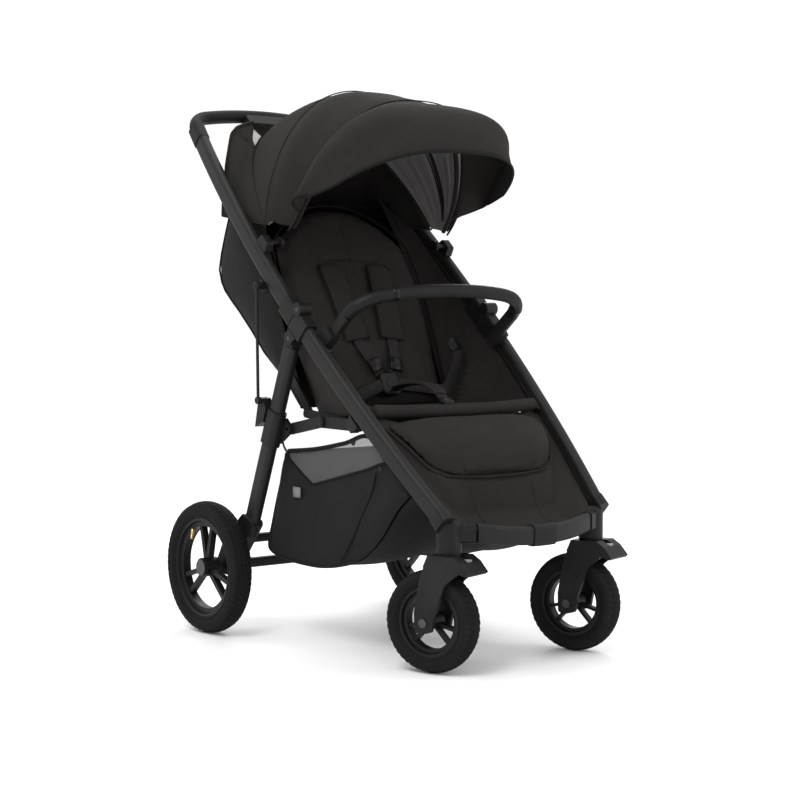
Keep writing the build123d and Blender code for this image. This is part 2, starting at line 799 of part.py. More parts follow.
# ---------------------------------------------------------------------------
# Bumper bar with sockets and release buttons
# ---------------------------------------------------------------------------
bumper_y, bumper_z, bumper_rise = -76.0, 591.0, 39.2
bumper_c, bumper_s = cos(radians(bumper_rise)), sin(radians(bumper_rise))
# local x is X, local y runs forward and up along the arms
bumper_plane = Plane(
    origin=(0, bumper_y, bumper_z), x_dir=(1, 0, 0), z_dir=(0, -bumper_s, -bumper_c)
)
arm_x, arm_end, bumper_front = 205.0, 70.0, 141.0
bumper_d = 26.0

with BuildPart() as bumper_pad:
    with BuildLine(bumper_plane) as path:
        bow = ThreePointArc((-148, 127), (0, bumper_front), (148, 127))
        TangentArc(bow @ 1, (arm_x, arm_end), tangent=bow % 1)
        TangentArc(bow @ 0, (-arm_x, arm_end), tangent=(bow % 0) * -1)
    bumper_path = path.wires()[0]
    with BuildSketch(Plane(origin=bumper_path @ 0, x_dir=(1, 0, 0), z_dir=bumper_path % 0)):
        Circle(bumper_d / 2)
    sweep(path=bumper_path)
save(bumper_pad, "bumper_pad")

tongue_w, tongue_t = 20.0, 9.0
with BuildPart() as bumper_arm:
    with BuildSketch(Plane(origin=bumper_plane.from_local_coords(Vector(arm_x, 22, 0)),
                           x_dir=(1, 0, 0), z_dir=bumper_plane.y_dir)):
        RectangleRounded(16, 26, 6)
    extrude(amount=arm_end - 22)
    with BuildSketch(Plane(origin=bumper_plane.from_local_coords(Vector(arm_x, 2, 0)),
                           x_dir=(1, 0, 0), z_dir=bumper_plane.y_dir)):
        Rectangle(tongue_t, tongue_w)
    extrude(amount=21)
    with BuildSketch(Plane(origin=bumper_plane.from_local_coords(Vector(arm_x - 9, 38, 0)),
                           x_dir=bumper_plane.y_dir, z_dir=(1, 0, 0))):
        Circle(6.5)
    extrude(amount=7.5, mode=Mode.SUBTRACT)
    add(bumper_pad.part, mode=Mode.SUBTRACT)
save(pair(bumper_arm.part), "bumper_arms")

for name, side in sides.items():
    with BuildPart() as bumper_button:
        start = bumper_plane.from_local_coords(Vector(side * (arm_x - 4), 38, 0))
        with BuildSketch(Plane(origin=start, x_dir=bumper_plane.y_dir, z_dir=(-side, 0, 0))):
            Circle(6)
        extrude(amount=6.5)
    save(bumper_button, f"bumper_button_{name}")

with BuildPart() as bumper_socket:
    with BuildSketch(Plane(origin=bumper_plane.from_local_coords(Vector(arm_x + 6, -16, 0)),
                           x_dir=(1, 0, 0), z_dir=bumper_plane.y_dir)):
        RectangleRounded(28, 30, 5)
    extrude(amount=16 + 21)
    with BuildSketch(Plane(origin=bumper_plane.from_local_coords(Vector(arm_x, 1, 0)),
                           x_dir=(1, 0, 0), z_dir=bumper_plane.y_dir)):
        Rectangle(tongue_t + 2 * gap, tongue_w + 2 * gap)
    extrude(amount=40, mode=Mode.SUBTRACT)
    # the socket hugs the tube, and leaves the folding tube free beside it
    add(side_tube(1, 380, 500), mode=Mode.SUBTRACT)
    with BuildSketch(frame_side_plane(collar_in + 2)):
        with Locations((430, 40)):
            Rectangle(140, 44)
    extrude(amount=40, mode=Mode.SUBTRACT)
    add(lower_collar.part, mode=Mode.SUBTRACT)
save(pair(bumper_socket.part), "bumper_sockets")

# ---------------------------------------------------------------------------
# Canopy: nested panels turned about the canopy pivots, each with its bow
# ---------------------------------------------------------------------------
rear_from, rear_to = 50.0, 91.0
front_from, front_to = 89.0, 126.0
visor_half, visor_hem = 223.5, 95.0
visor_angles = (123.5, 137.0, 150.0)
visor_radii = (327.0, 341.0, 357.0)


def radial_plane(angle, y, z):
    """Plane through the X line at (y, z): local y is the radius at an angle."""
    a = radians(angle)
    return Plane(origin=(0, y, z), x_dir=(1, 0, 0), z_dir=(0, -sin(a), cos(a)))


def canopy_section(angle, half, radius, skin, shoulder, low):
    """Cross-section of the canopy's skin at one angle about its pivots."""
    with BuildSketch(radial_plane(angle, canopy_y, canopy_z)) as section:
        with BuildLine():
            outer = FilletPolyline(
                (-half, low), (-half, radius), (half, radius), (half, low), radius=shoulder
            )
            inner = FilletPolyline(
                (half - skin, low), (half - skin, radius - skin),
                (skin - half, radius - skin), (skin - half, low), radius=shoulder - skin,
            )
            Line(outer @ 1, inner @ 0)
            Line(inner @ 1, outer @ 0)
        make_face()
    return section.sketch


def canopy_panel(start, stop, half, radius, skin, shoulder, low):
    """Curved panel between two angles about the canopy's pivots."""
    with BuildPart() as panel:
        add(canopy_section(start, half, radius, skin, shoulder, low))
        revolve(
            axis=Axis((0, canopy_y, canopy_z), (1, 0, 0)), revolution_arc=stop - start
        )
    return panel.part


def canopy_bow(angle, half, radius, strip, width):
    """Flat bow inside the canopy with an eye on each pivot."""
    with BuildPart() as bow_part:
        add(
            canopy_panel(
                angle - width, angle + width, half, radius, strip, canopy_shoulder - 6, 20
            )
        )
        for side in (1, -1):
            add(x_cylinder(canopy_y, canopy_z, 11, side * (half - strip), side * half))
            with BuildSketch(side_plane(half - strip if side > 0 else -half)):
                with BuildLine():
                    a = radians(angle)
                    Polyline(
                        (canopy_y + 6 * sin(a), canopy_z - 6 * cos(a)),
                        (canopy_y + 32 * cos(a) + 3 * sin(a), canopy_z + 32 * sin(a) - 3 * cos(a)),
                        (canopy_y + 32 * cos(a) - 3 * sin(a), canopy_z + 32 * sin(a) + 3 * cos(a)),
                        (canopy_y - 6 * sin(a), canopy_z + 6 * cos(a)),
                        close=True,
                    )
                make_face()
            extrude(amount=strip)
        add(x_cylinder(canopy_y, canopy_z, 5 + running, -230, 230), mode=Mode.SUBTRACT)
    return bow_part.part


hem = 24.0
with BuildPart() as canopy_rear:
    add(
        canopy_panel(
            rear_from, rear_to, canopy_half, canopy_r, canopy_skin, canopy_shoulder, hem
        )
    )
save(canopy_rear, "canopy_rear_panel")
front_half, front_r = canopy_half - canopy_skin - 1, canopy_r - canopy_skin - 1.5
with BuildPart() as canopy_front:
    add(
        canopy_panel(
            front_from, front_to, front_half, front_r, canopy_skin, canopy_shoulder - 5, hem
        )
    )
save(canopy_front, "canopy_front_panel")
# the visor flares forward from a wider seam that passes over both panels
with BuildPart() as canopy_visor:
    for angle, radius in zip(visor_angles, visor_radii):
        add(
            canopy_section(
                angle, visor_half, radius, canopy_skin, canopy_shoulder, visor_hem
            )
        )
    loft()
save(canopy_visor, "canopy_visor")

bow_strip = 2.5
rear_bow_half, bow_turn = front_half - canopy_skin - 1, 0.9
with BuildPart() as canopy_bow_rear:
    add(
        canopy_bow(
            rear_from + 3, rear_bow_half, front_r - canopy_skin - 1, bow_strip, bow_turn
        )
    )
save(canopy_bow_rear, "canopy_bow_rear")
with BuildPart() as canopy_bow_front:
    add(
        canopy_bow(
            front_to - 2, rear_bow_half - bow_strip - 1, front_r - canopy_skin - 2,
            bow_strip, bow_turn,
        )
    )
save(canopy_bow_front, "canopy_bow_front")

with BuildPart() as canopy_mount:
    pivot_v = (canopy_y - foot_y) * slope_c + (canopy_z - foot_z) * slope_s
    pivot_n = (canopy_z - foot_z) * slope_c - (canopy_y - foot_y) * slope_s
    add(
        frame_plate(
            [(pivot_v - 20, 17), (pivot_v + 20, 17), (pivot_v + 13, pivot_n + 9),
             (pivot_v - 13, pivot_n + 9)],
            canopy_half + 1.2, canopy_half + 17,
            corner=5,
        )
    )
    add(side_tube(1, pivot_v - 60, pivot_v + 60), mode=Mode.SUBTRACT)
    add(x_cylinder(canopy_y, canopy_z, 5, 196, canopy_half + 2))
    add(x_cylinder(canopy_y, canopy_z, 12, 193, 198))
save(pair(canopy_mount.part), "canopy_mounts")

# back panel between the rear bow and the backrest
with BuildPart() as canopy_back:
    add(
        yz_plate(
            [(300, 1000), (306, 1003), (350, 872), (344, 870)], -176, 176,
        )
    )
save(canopy_back, "canopy_back_panel")

# ---------------------------------------------------------------------------
# Soft parts: seat, backrest, leg rest, calf panel, basket
# ---------------------------------------------------------------------------
with BuildPart() as seat_cushion:
    add(
        yz_plate(
            [(-214, 452), (-206, 464), (-8, 447), (-8, 416), (-200, 430)],
            -seat_half, seat_half, corner=5,
        )
    )
save(seat_cushion, "seat_cushion")

leg_rest_half, leg_rest_corner = 182.0, 60.0
rest_axis_y, rest_axis_z = -220.0, 435.0
leg_rest_depth = 240.0
with BuildPart() as leg_rest:
    add(
        yz_plate(
            [(-218, 449), (-256, 438), (-298, 408), (-322, 368), (-328, 350), (-317, 342),
             (-302, 356), (-284, 382), (-252, 410), (-222, 424)],
            -leg_rest_half, leg_rest_half, corner=4,
        )
    )
    # front corners rounded as seen from above
    with BuildSketch(Plane.XY.offset(300)):
        with Locations((0, leg_rest_depth / 2 - 328)):
            RectangleRounded(2 * leg_rest_half, leg_rest_depth, leg_rest_corner)
    extrude(amount=200, mode=Mode.INTERSECT)
    # the rod that the leg rest turns on, in its top hem
    add(x_cylinder(rest_axis_y, rest_axis_z, 7, 10 - leg_rest_half, leg_rest_half - 10))
save(leg_rest, "leg_rest_pad")

calf_half = 148.0
with BuildPart() as calf_panel:
    add(
        yz_plate(
            [(-192, 412), (-196, 415), (-286, 350), (-322, 326), (-341, 275), (-398, 273),
             (-398, 269), (-337, 271), (-318, 323), (-283, 346)],
            -calf_half, calf_half,
        )
    )
save(calf_panel, "calf_panel")

# backrest: a fabric shell behind, the cushioned front, and the harness
back_c, back_s = cos(radians(64)), sin(radians(64))


def back_yz(along, off):
    """Y and Z of a point up the backrest's front face, off it to the front."""
    return recline_y + along * back_c - off * back_s, recline_z + along * back_s + off * back_c


shell_half, shell_skin = 186.0, 4.0
shell_outline = [
    back_yz(18, -26), back_yz(452, -26), (262, 862), (334, 840), (378, 726),
    (352, 680), (300, 640), (214, 558), (116, 490), (60, 456),
]
with BuildPart() as backrest_shell:
    add(yz_plate(shell_outline, -shell_half, shell_half, corner=6))
    # hollow behind the cushion
    with BuildSketch(side_plane(shell_skin - shell_half)):
        with BuildLine():
            FilletPolyline(*shell_outline, radius=6, close=True)
        make_face()
        offset(amount=-shell_skin)
        with BuildLine():
            Polyline(
                back_yz(34, -20), back_yz(434, -20), back_yz(434, -44), back_yz(34, -44),
                close=True,
            )
        make_face()
    extrude(amount=2 * (shell_half - shell_skin), mode=Mode.SUBTRACT)
save(backrest_shell, "backrest_shell")

cushion_t = 34.0
with BuildPart() as backrest_cushion:
    back_plane = Plane(
        origin=(0, *back_yz(0, -25)), x_dir=(1, 0, 0), z_dir=(0, -back_s, back_c)
    )
    with BuildSketch(back_plane):
        with BuildLine():
            FilletPolyline(
                (-160, 22), (160, 22), (176, 250), (140, 455), (-140, 455), (-176, 250),
                radius=40, close=True,
            )
        make_face()
    extrude(amount=cushion_t)
save(backrest_cushion, "backrest_cushion")

with BuildPart() as recline_bracket:
    add(link(recline_y, recline_z, *back_yz(80, -22), 193, 198, 9))
    add(x_cylinder(recline_y, recline_z, 5 + running, 190, 200), mode=Mode.SUBTRACT)
save(pair(recline_bracket.part), "recline_brackets")

with BuildPart() as shoulder_pads:
    for x in (-48, 48):
        with BuildSketch(back_plane.offset(cushion_t + 1)):
            with Locations((x, 225)):
                RectangleRounded(58, 150, 14)
        extrude(amount=9)
save(shoulder_pads, "shoulder_pads")

buckle_along, buckle_t = 46.0, 14.0
buckle_plane = back_plane.offset(cushion_t + 2)
with BuildPart() as harness_buckle:
    with BuildSketch(buckle_plane):
        with Locations((0, buckle_along)):
            RectangleRounded(42, 44, 10)
            Circle(10.5, mode=Mode.SUBTRACT)
    extrude(amount=buckle_t)
save(harness_buckle, "harness_buckle")
with BuildPart() as buckle_button:
    with BuildSketch(buckle_plane.offset(5)):
        with Locations((0, buckle_along)):
            Circle(10)
    extrude(amount=buckle_t - 4)
save(buckle_button, "buckle_button")
with BuildPart() as crotch_strap:
    add(
        yz_plate(
            [(-14, 482), (-57, 495), (-114, 498), (-150, 487), (-178, 464), (-182, 466),
             (-152, 491), (-115, 502), (-56, 499), (-13, 486)],
            -16, 16,
        )
    )
save(crotch_strap, "crotch_strap")

basket_half, basket_skin = 208.0, 3.0
with BuildPart() as basket:
    with BuildSketch(side_plane(-basket_half)):
        with BuildLine():
            Polyline(
                (84, 370), (-50, 388), (-168, 410), (-184, 392), (-212, 322), (-240, 250),
                (-252, 192), (-52, 156), (60, 156), (136, 177), (140, 200), close=True,
            )
        make_face()
    extrude(amount=2 * basket_half)
    with BuildSketch(side_plane(basket_skin - basket_half)):
        with BuildLine():
            Polyline(
                (81, 380), (-50, 400), (-168, 430), (-181, 392), (-209, 322), (-237, 250),
                (-248.5, 194.5), (-52, 159), (60, 159), (133, 180), (137, 200), close=True,
            )
        make_face()
    extrude(amount=2 * (basket_half - basket_skin), mode=Mode.SUBTRACT)
    # side wings that reach forward to the side tubes
    for x in (basket_skin - basket_half, basket_half):
        add(
            yz_plate(
                [(-180, 400), (-196, 402), (-304, 318), (-276, 272), (-246, 196), (-220, 200)],
                x - basket_skin, x,
            )
        )
save(basket, "basket")
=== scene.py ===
import json
from math import cos, pi, radians, sin, sqrt

import bpy
import numpy as np
from mathutils import Matrix, Vector

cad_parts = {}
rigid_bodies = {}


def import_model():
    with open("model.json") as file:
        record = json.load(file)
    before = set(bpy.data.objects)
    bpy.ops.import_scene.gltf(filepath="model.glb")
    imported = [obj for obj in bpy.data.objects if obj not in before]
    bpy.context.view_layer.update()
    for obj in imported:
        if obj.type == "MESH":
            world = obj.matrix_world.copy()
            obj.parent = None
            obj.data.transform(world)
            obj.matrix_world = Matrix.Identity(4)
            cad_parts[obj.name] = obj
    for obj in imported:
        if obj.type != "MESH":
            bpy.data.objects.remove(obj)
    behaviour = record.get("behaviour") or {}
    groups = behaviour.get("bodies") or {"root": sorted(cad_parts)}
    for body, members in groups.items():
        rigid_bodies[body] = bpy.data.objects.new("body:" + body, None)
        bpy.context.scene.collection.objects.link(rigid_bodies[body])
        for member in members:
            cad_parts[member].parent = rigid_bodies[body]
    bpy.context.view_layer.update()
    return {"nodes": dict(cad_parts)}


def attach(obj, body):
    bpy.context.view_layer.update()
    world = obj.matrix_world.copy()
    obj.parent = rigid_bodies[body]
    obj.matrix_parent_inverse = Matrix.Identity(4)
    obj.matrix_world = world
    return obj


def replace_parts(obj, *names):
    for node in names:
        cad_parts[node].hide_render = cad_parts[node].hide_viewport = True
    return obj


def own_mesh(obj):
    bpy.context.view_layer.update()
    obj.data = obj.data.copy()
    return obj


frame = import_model()
nodes = frame["nodes"]

# ---- Places on the frame, in metres, as the CAD model has them ----
foot_y, foot_z = -0.385, 0.2786
slope, back_slope, bumper_slope = radians(42.92), radians(64), radians(39.2)
slope_c, slope_s = cos(slope), sin(slope)
bow_half, bow_radius, bow_peak = 0.23305, 3.465, 0.5474
canopy_y, canopy_z = 0.1025, 0.7745
recline_y, recline_z = 0.002, 0.446
back_c, back_s = cos(back_slope), sin(back_slope)
bumper_y, bumper_z = -0.076, 0.591
bumper_c, bumper_s = cos(bumper_slope), sin(bumper_slope)
rear_axle = Vector((0.278, 0.235, 0.1314))
rear_wheel_r, rear_tyre_w, rear_rim_r = 0.1314, 0.045, 0.098
front_wheel_r, front_tyre_w, front_rim_r = 0.0927, 0.046, 0.063
swivel_x, swivel_y, swivel_trail, swivel_yaw = 0.174, -0.387, 0.033, radians(17)
frame_normal, back_normal = (0, -slope_s, slope_c), (0, -back_s, back_c)
sides = (("left", -1), ("right", 1))


def bow_x(v):
    """Half distance between the side tubes, v up the slope."""
    return bow_half - bow_radius + sqrt(bow_radius**2 - (v - bow_peak) ** 2)


def on_frame(x, v, n):
    """Point v up the sloping frame plane and n off it to the front."""
    return Vector((x, foot_y + v * slope_c - n * slope_s, foot_z + v * slope_s + n * slope_c))


def on_back(x, along, off):
    """Point up the backrest's front face, off it to the front."""
    return Vector((x, recline_y + along * back_c - off * back_s, recline_z + along * back_s + off * back_c))


def on_bumper(x, front, up):
    """Point in the plane of the bumper bar."""
    return Vector((x, bumper_y - front * bumper_c + up * bumper_s, bumper_z + front * bumper_s + up * bumper_c))


# ---- Materials ----
class Shade:
    """One node material. Object and UV coordinates are in metres."""

    def __init__(self, name, roughness, **sockets):
        self.material = bpy.data.materials.new(name)
        self.material.use_nodes = True
        self.tree = self.material.node_tree
        self.shader = next(n for n in self.tree.nodes if n.type == "BSDF_PRINCIPLED")
        self.feed(self.shader.inputs["Roughness"], roughness)
        for key, value in sockets.items():
            self.feed(self.shader.inputs[key.replace("_", " ").title().replace("Ior", "IOR")], value)
        where = self.tree.nodes.new("ShaderNodeTexCoord")
        self.object, self.uv = where.outputs["Object"], where.outputs["UV"]

    def feed(self, socket, value):
        if isinstance(value, bpy.types.NodeSocket):
            self.tree.links.new(value, socket)
        else:
            socket.default_value = value

    def node(self, kind, **inputs):
        node = self.tree.nodes.new(kind)
        for key, value in inputs.items():
            self.feed(node.inputs[key.replace("_", " ")], value)
        return node

    def math(self, operation, a, b=0.0):
        node = self.tree.nodes.new("ShaderNodeMath")
        node.operation = operation
        self.feed(node.inputs[0], a)
        self.feed(node.inputs[1], b)
        return node.outputs[0]

    def add(self, a, b):
        return self.math("ADD", a, b)

    def mul(self, a, b):
        return self.math("MULTIPLY", a, b)

    def sine(self, a):
        return self.math("SINE", a)

    def noise(self, vector, scale, detail=3.0, rough=0.55):
        return self.node("ShaderNodeTexNoise", Vector=vector, Scale=scale, Detail=detail,
                         Roughness=rough).outputs["Fac"]

    def stretched(self, vector, scale):
        return self.node("ShaderNodeMapping", Vector=vector, Scale=scale).outputs["Vector"]

    def split(self, vector):
        return self.node("ShaderNodeSeparateXYZ", Vector=vector).outputs

    def mix(self, factor, a, b):
        node = self.tree.nodes.new("ShaderNodeMix")
        node.data_type = "RGBA"
        self.feed(node.inputs["Factor"], factor)
        self.feed(node.inputs["A"], a)
        self.feed(node.inputs["B"], b)
        return node.outputs["Result"]

    def spread(self, value, low, high):
        """Value from 0 to 1 mapped to low to high."""
        return self.node("ShaderNodeMapRange", Value=value, To_Min=low, To_Max=high).outputs["Result"]

    def steps(self, value, low, high):
        """0 under low, 1 over high, smooth between."""
        node = self.node("ShaderNodeMapRange", Value=value, From_Min=low, From_Max=high)
        node.interpolation_type = "SMOOTHSTEP"
        return node.outputs["Result"]

    def colour(self, value):
        self.feed(self.shader.inputs["Base Color"], value)

    def bump(self, height, distance, strength=1.0):
        normal = self.node("ShaderNodeBump", Height=height, Distance=distance,
                           Strength=strength).outputs["Normal"]
        self.feed(self.shader.inputs["Normal"], normal)


def grey(level, warm=0.0):
    return (level * (1 + warm), level, level * (1 - warm), 1.0)


def shaded(colour, factor):
    return (colour[0] * factor, colour[1] * factor, colour[2] * factor, 1.0)


def fabric(name, colour, pitch=0.0012, from_uv=False, rib=0.0, roughness=0.82, sheen=0.015, depth=0.0004):
    """Woven cloth with slubs in its yarn, slight fading and fuzz."""
    s = Shade(name, roughness, sheen_weight=sheen, sheen_roughness=0.45, specular_ior_level=0.06)
    if from_uv:
        across, along, _ = s.split(s.uv)
        place = s.uv
    else:
        x, y, z = s.split(s.object)
        across = s.add(x, s.mul(s.math("SUBTRACT", y, z), 0.35))
        along = s.add(y, z)
        place = s.object
    turn = 2 * pi / pitch
    warp = s.sine(s.mul(across, turn))
    weft = s.sine(s.mul(along, turn))
    weave = s.math("MULTIPLY_ADD", s.mul(warp, weft), 0.5)
    s.tree.nodes[-1].inputs[2].default_value = 0.5
    slub_a = s.noise(s.stretched(place, (260, 1500, 1500)), 1.0, 2.0)
    slub_b = s.noise(s.stretched(place, (1500, 300, 300)), 1.0, 2.0)
    yarn = s.mul(s.add(slub_a, slub_b), 0.5)
    fade = s.noise(s.object, 7.0, 4.0)
    tone = s.add(s.mul(weave, 0.22), s.add(s.mul(yarn, 0.9), s.mul(fade, 0.35)))
    s.colour(s.mix(s.steps(tone, 0.35, 1.1), shaded(colour, 0.62), shaded(colour, 1.42)))
    height = s.add(weave, s.mul(yarn, 0.6))
    if rib:
        line = s.sine(s.mul(across, 2 * pi / rib))
        height = s.add(height, s.mul(line, 1.2))
    s.bump(height, depth)
    return s.material


def plastic(name, colour, roughness=0.5, grain=0.00012, wear=0.5, scale=900.0):
    """Moulded plastic: fine spark-eroded grain, rubbed edges, faint dust."""
    s = Shade(name, roughness, specular_ior_level=0.16)
    fine = s.noise(s.object, scale, 3.0)
    broad = s.noise(s.object, 14.0, 5.0)
    edge = s.steps(s.node("ShaderNodeNewGeometry").outputs["Pointiness"], 0.53, 0.60)
    rubbed = s.mul(edge, s.steps(broad, 0.35, 0.7))
    body = s.mix(broad, shaded(colour, 0.8), shaded(colour, 1.22))
    s.colour(s.mix(s.mul(rubbed, wear), body, shaded(colour, 2.6)))
    s.feed(s.shader.inputs["Roughness"], s.spread(broad, roughness - 0.07, roughness + 0.1))
    s.bump(fine, grain)
    return s.material


def paint(name, colour, roughness=0.36):
    """Satin powder coat on aluminium: orange peel, faint scuffs."""
    s = Shade(name, roughness, specular_ior_level=0.2)
    peel = s.noise(s.object, 420.0, 2.0)
    scuff = s.noise(s.stretched(s.object, (60, 9, 9)), 3.0, 6.0, 0.7)
    s.colour(s.mix(s.steps(scuff, 0.4, 0.75), shaded(colour, 0.92), shaded(colour, 1.3)))
    s.feed(s.shader.inputs["Roughness"], s.spread(scuff, roughness - 0.06, roughness + 0.12))
    s.bump(peel, 0.00006)
    return s.material


def metal(name, colour, roughness=0.3):
    """Turned or drawn metal with fine lines."""
    s = Shade(name, roughness, metallic=1.0)
    lines = s.noise(s.stretched(s.object, (1800, 90, 90)), 1.0, 2.0)
    dull = s.noise(s.object, 60.0, 4.0)
    s.colour(s.mix(dull, shaded(colour, 0.8), colour))
    s.feed(s.shader.inputs["Roughness"], s.spread(lines, roughness - 0.08, roughness + 0.14))
    s.bump(lines, 0.00003)
    return s.material


def rubber(name, colour, roughness=0.78):
    """Tyre rubber: moulding marks, dust caught in the grooves."""
    s = Shade(name, roughness, specular_ior_level=0.12)
    fine = s.noise(s.object, 700.0, 4.0)
    dust = s.noise(s.object, 35.0, 5.0)
    hollow = s.steps(s.node("ShaderNodeNewGeometry").outputs["Pointiness"], 0.5, 0.44)
    caught = s.mul(hollow, dust)
    s.colour(s.mix(s.add(s.mul(dust, 0.4), caught), shaded(colour, 0.75), shaded(colour, 1.7)))
    s.bump(fine, 0.00015)
    return s.material


def leather(name, colour, roughness=0.55):
    """Grained leatherette on the grip and the bumper bar."""
    s = Shade(name, roughness, specular_ior_level=0.16)
    cells = s.node("ShaderNodeTexVoronoi", Vector=s.object, Scale=620.0)
    pebble = cells.outputs["Distance"]
    broad = s.noise(s.object, 18.0, 4.0)
    s.colour(s.mix(s.mul(pebble, s.spread(broad, 0.6, 1.2)), shaded(colour, 1.25), shaded(colour, 0.7)))
    s.feed(s.shader.inputs["Roughness"], s.spread(broad, roughness - 0.06, roughness + 0.1))
    s.bump(pebble, 0.0003, 0.8)
    return s.material


def netting(name, colour, pitch=0.0034, hole=0.36, solid=0.0):
    """Knitted net: staggered round holes seen through the yarn."""
    s = Shade(name, 0.7, specular_ior_level=0.3)
    u, v, _ = s.split(s.uv)
    row = s.mul(v, 1 / (pitch * 0.866))
    shift = s.mul(s.math("MODULO", s.math("FLOOR", row), 2.0), 0.5)
    a = s.math("SUBTRACT", s.math("FRACT", s.add(s.mul(u, 1 / pitch), shift)), 0.5)
    b = s.math("SUBTRACT", s.math("FRACT", row), 0.5)
    distance = s.math("SQRT", s.add(s.mul(a, a), s.mul(b, b)))
    yarn = s.steps(distance, hole - 0.05, hole + 0.05)
    fuzz = s.noise(s.object, 1300.0, 2.0)
    s.colour(s.mix(fuzz, shaded(colour, 0.7), shaded(colour, 1.3)))
    s.feed(s.shader.inputs["Alpha"], s.math("MAXIMUM", yarn, solid))
    s.bump(yarn, 0.0003)
    return s.material


def webbing(name, colour, pitch=0.0016):
    """Harness tape: ribs across, edge cords along."""
    s = Shade(name, 0.62, sheen_weight=0.02, sheen_roughness=0.4, specular_ior_level=0.12)
    u, v, _ = s.split(s.uv)
    rib = s.math("ABSOLUTE", s.sine(s.mul(v, pi / pitch)))
    cords = s.sine(s.mul(u, 2 * pi / 0.0022))
    yarn = s.noise(s.stretched(s.uv, (900, 2600, 900)), 1.0, 2.0)
    tone = s.add(s.mul(rib, 0.5), s.mul(yarn, 0.6))
    s.colour(s.mix(s.steps(tone, 0.2, 1.0), shaded(colour, 0.6), shaded(colour, 1.4)))
    s.bump(s.add(rib, s.mul(cords, 0.5)), 0.0003)
    return s.material


charcoal = grey(0.021, 0.06)
looks = {
    "tube": paint("satin_frame_paint", grey(0.0105, 0.0), 0.46),
    "plastic": plastic("moulded_plastic", grey(0.0075, 0.0), 0.46),
    "gloss": plastic("smooth_plastic", grey(0.006), 0.3, 0.00004),
    "wheel": plastic("wheel_plastic", grey(0.0065), 0.42, 0.00008),
    "slider": plastic("grey_slider_plastic", grey(0.2, 0.01), 0.45),
    "dark_steel": metal("blackened_steel", (0.09, 0.09, 0.095, 1.0), 0.4),
    "brass": metal("valve_brass", (0.72, 0.5, 0.24, 1.0), 0.28),
    "alu": metal("bare_aluminium", (0.7, 0.71, 0.72, 1.0), 0.35),
    "rubber": rubber("tyre_rubber", grey(0.0065, 0.0)),
    "grip": leather("grip_leatherette", grey(0.008, 0.0)),
    "canopy": fabric("canopy_cloth", charcoal, 0.0011, True),
    "lining": fabric("canopy_lining", grey(0.17, 0.02), 0.0009, True, sheen=0.06, roughness=0.55, depth=0.0001),
    "seat": fabric("seat_cloth", grey(0.022, 0.06), 0.0012),
    "shell": fabric("shell_cloth", grey(0.014, 0.03), 0.001, True, roughness=0.7),
    "binding": fabric("edge_binding", grey(0.009, 0.02), 0.0009, True, roughness=0.7),
    "thread": fabric("seam_thread", grey(0.02, 0.03), 0.0006, False, depth=0.0001),
    "net": netting("basket_net", grey(0.10, 0.0), 0.0036, 0.40, 0.45),
    "vent": netting("canopy_vent_net", grey(0.42), 0.0026, 0.3, 0.55),
    "webbing": webbing("harness_webbing", grey(0.016, 0.02)),
    "tag": fabric("grey_tag", grey(0.22), 0.0008, True),
}
cad_looks = {
    "tube": ["front_tubes", "upper_tubes", "front_bar", "rear_legs", "rear_cross_bars", "fold_rods"],
    "plastic": [
        "corner_castings", "front_bar_cover", "hinge_housings", "hinge_caps", "seat_rails", "bumper_sockets",
        "bumper_arms", "trigger_housing", "rod_brackets", "canopy_mounts", "rear_feet", "leg_sleeves",
        "fork_right", "fork_left", "strut_front_links", "strut_rear_links", "recline_brackets",
        "canopy_bow_front", "canopy_bow_rear", "fold_trigger", "brake_pedal", "bumper_button_right",
        "bumper_button_left", "harness_buckle", "buckle_button",
    ],
    "dark_steel": ["hinge_pins", "rear_axle_pins", "caster_pins_right", "caster_pins_left"],
    "slider": ["swivel_lock_right", "swivel_lock_left"],
    "alu": ["handle_core"],
    "wheel": ["front_rim_right", "front_rim_left", "rear_rim_right", "rear_rim_left"],
    "rubber": ["front_tyre_right", "front_tyre_left", "rear_tyre_right", "rear_tyre_left"],
    "grip": ["handle_grip", "bumper_pad"],
    "seat": ["seat_cushion", "leg_rest_pad", "backrest_cushion", "shoulder_pads", "calf_panel"],
    "shell": ["backrest_shell", "basket", "canopy_back_panel"],
    "canopy": ["canopy_rear_panel", "canopy_front_panel", "canopy_visor"],
    "webbing": ["crotch_strap"],
}
for look, names in cad_looks.items():
    for name in names:
        mesh = nodes[name].data
        mesh.materials.clear()
        mesh.materials.append(looks[look])


# ---- Mesh building ----
def make(name, points, faces, look, body=None, uv=None, smooth=True):
    """Mesh object from points and faces, with a look, on a CAD body."""
    mesh = bpy.data.meshes.new(name)
    mesh.from_pydata([tuple(p) for p in points], [], faces)
    mesh.update()
    if uv is not None:
        layer = mesh.uv_layers.new(name="UVMap")
        flat = np.array([uv[loop.vertex_index] for loop in mesh.loops], float)
        layer.data.foreach_set("uv", flat.ravel())
    mesh.polygons.foreach_set("use_smooth", [smooth] * len(mesh.polygons))
    obj = bpy.data.objects.new(name, mesh)
    bpy.context.scene.collection.objects.link(obj)
    mesh.materials.append(looks[look])
    if body:
        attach(obj, body)
    return obj


def lengths(rows):
    """Distance along each row from its first point, averaged over the rows."""
    steps = np.linalg.norm(np.diff(rows, axis=1), axis=2).mean(axis=0)
    return np.concatenate([[0.0], np.cumsum(steps)])


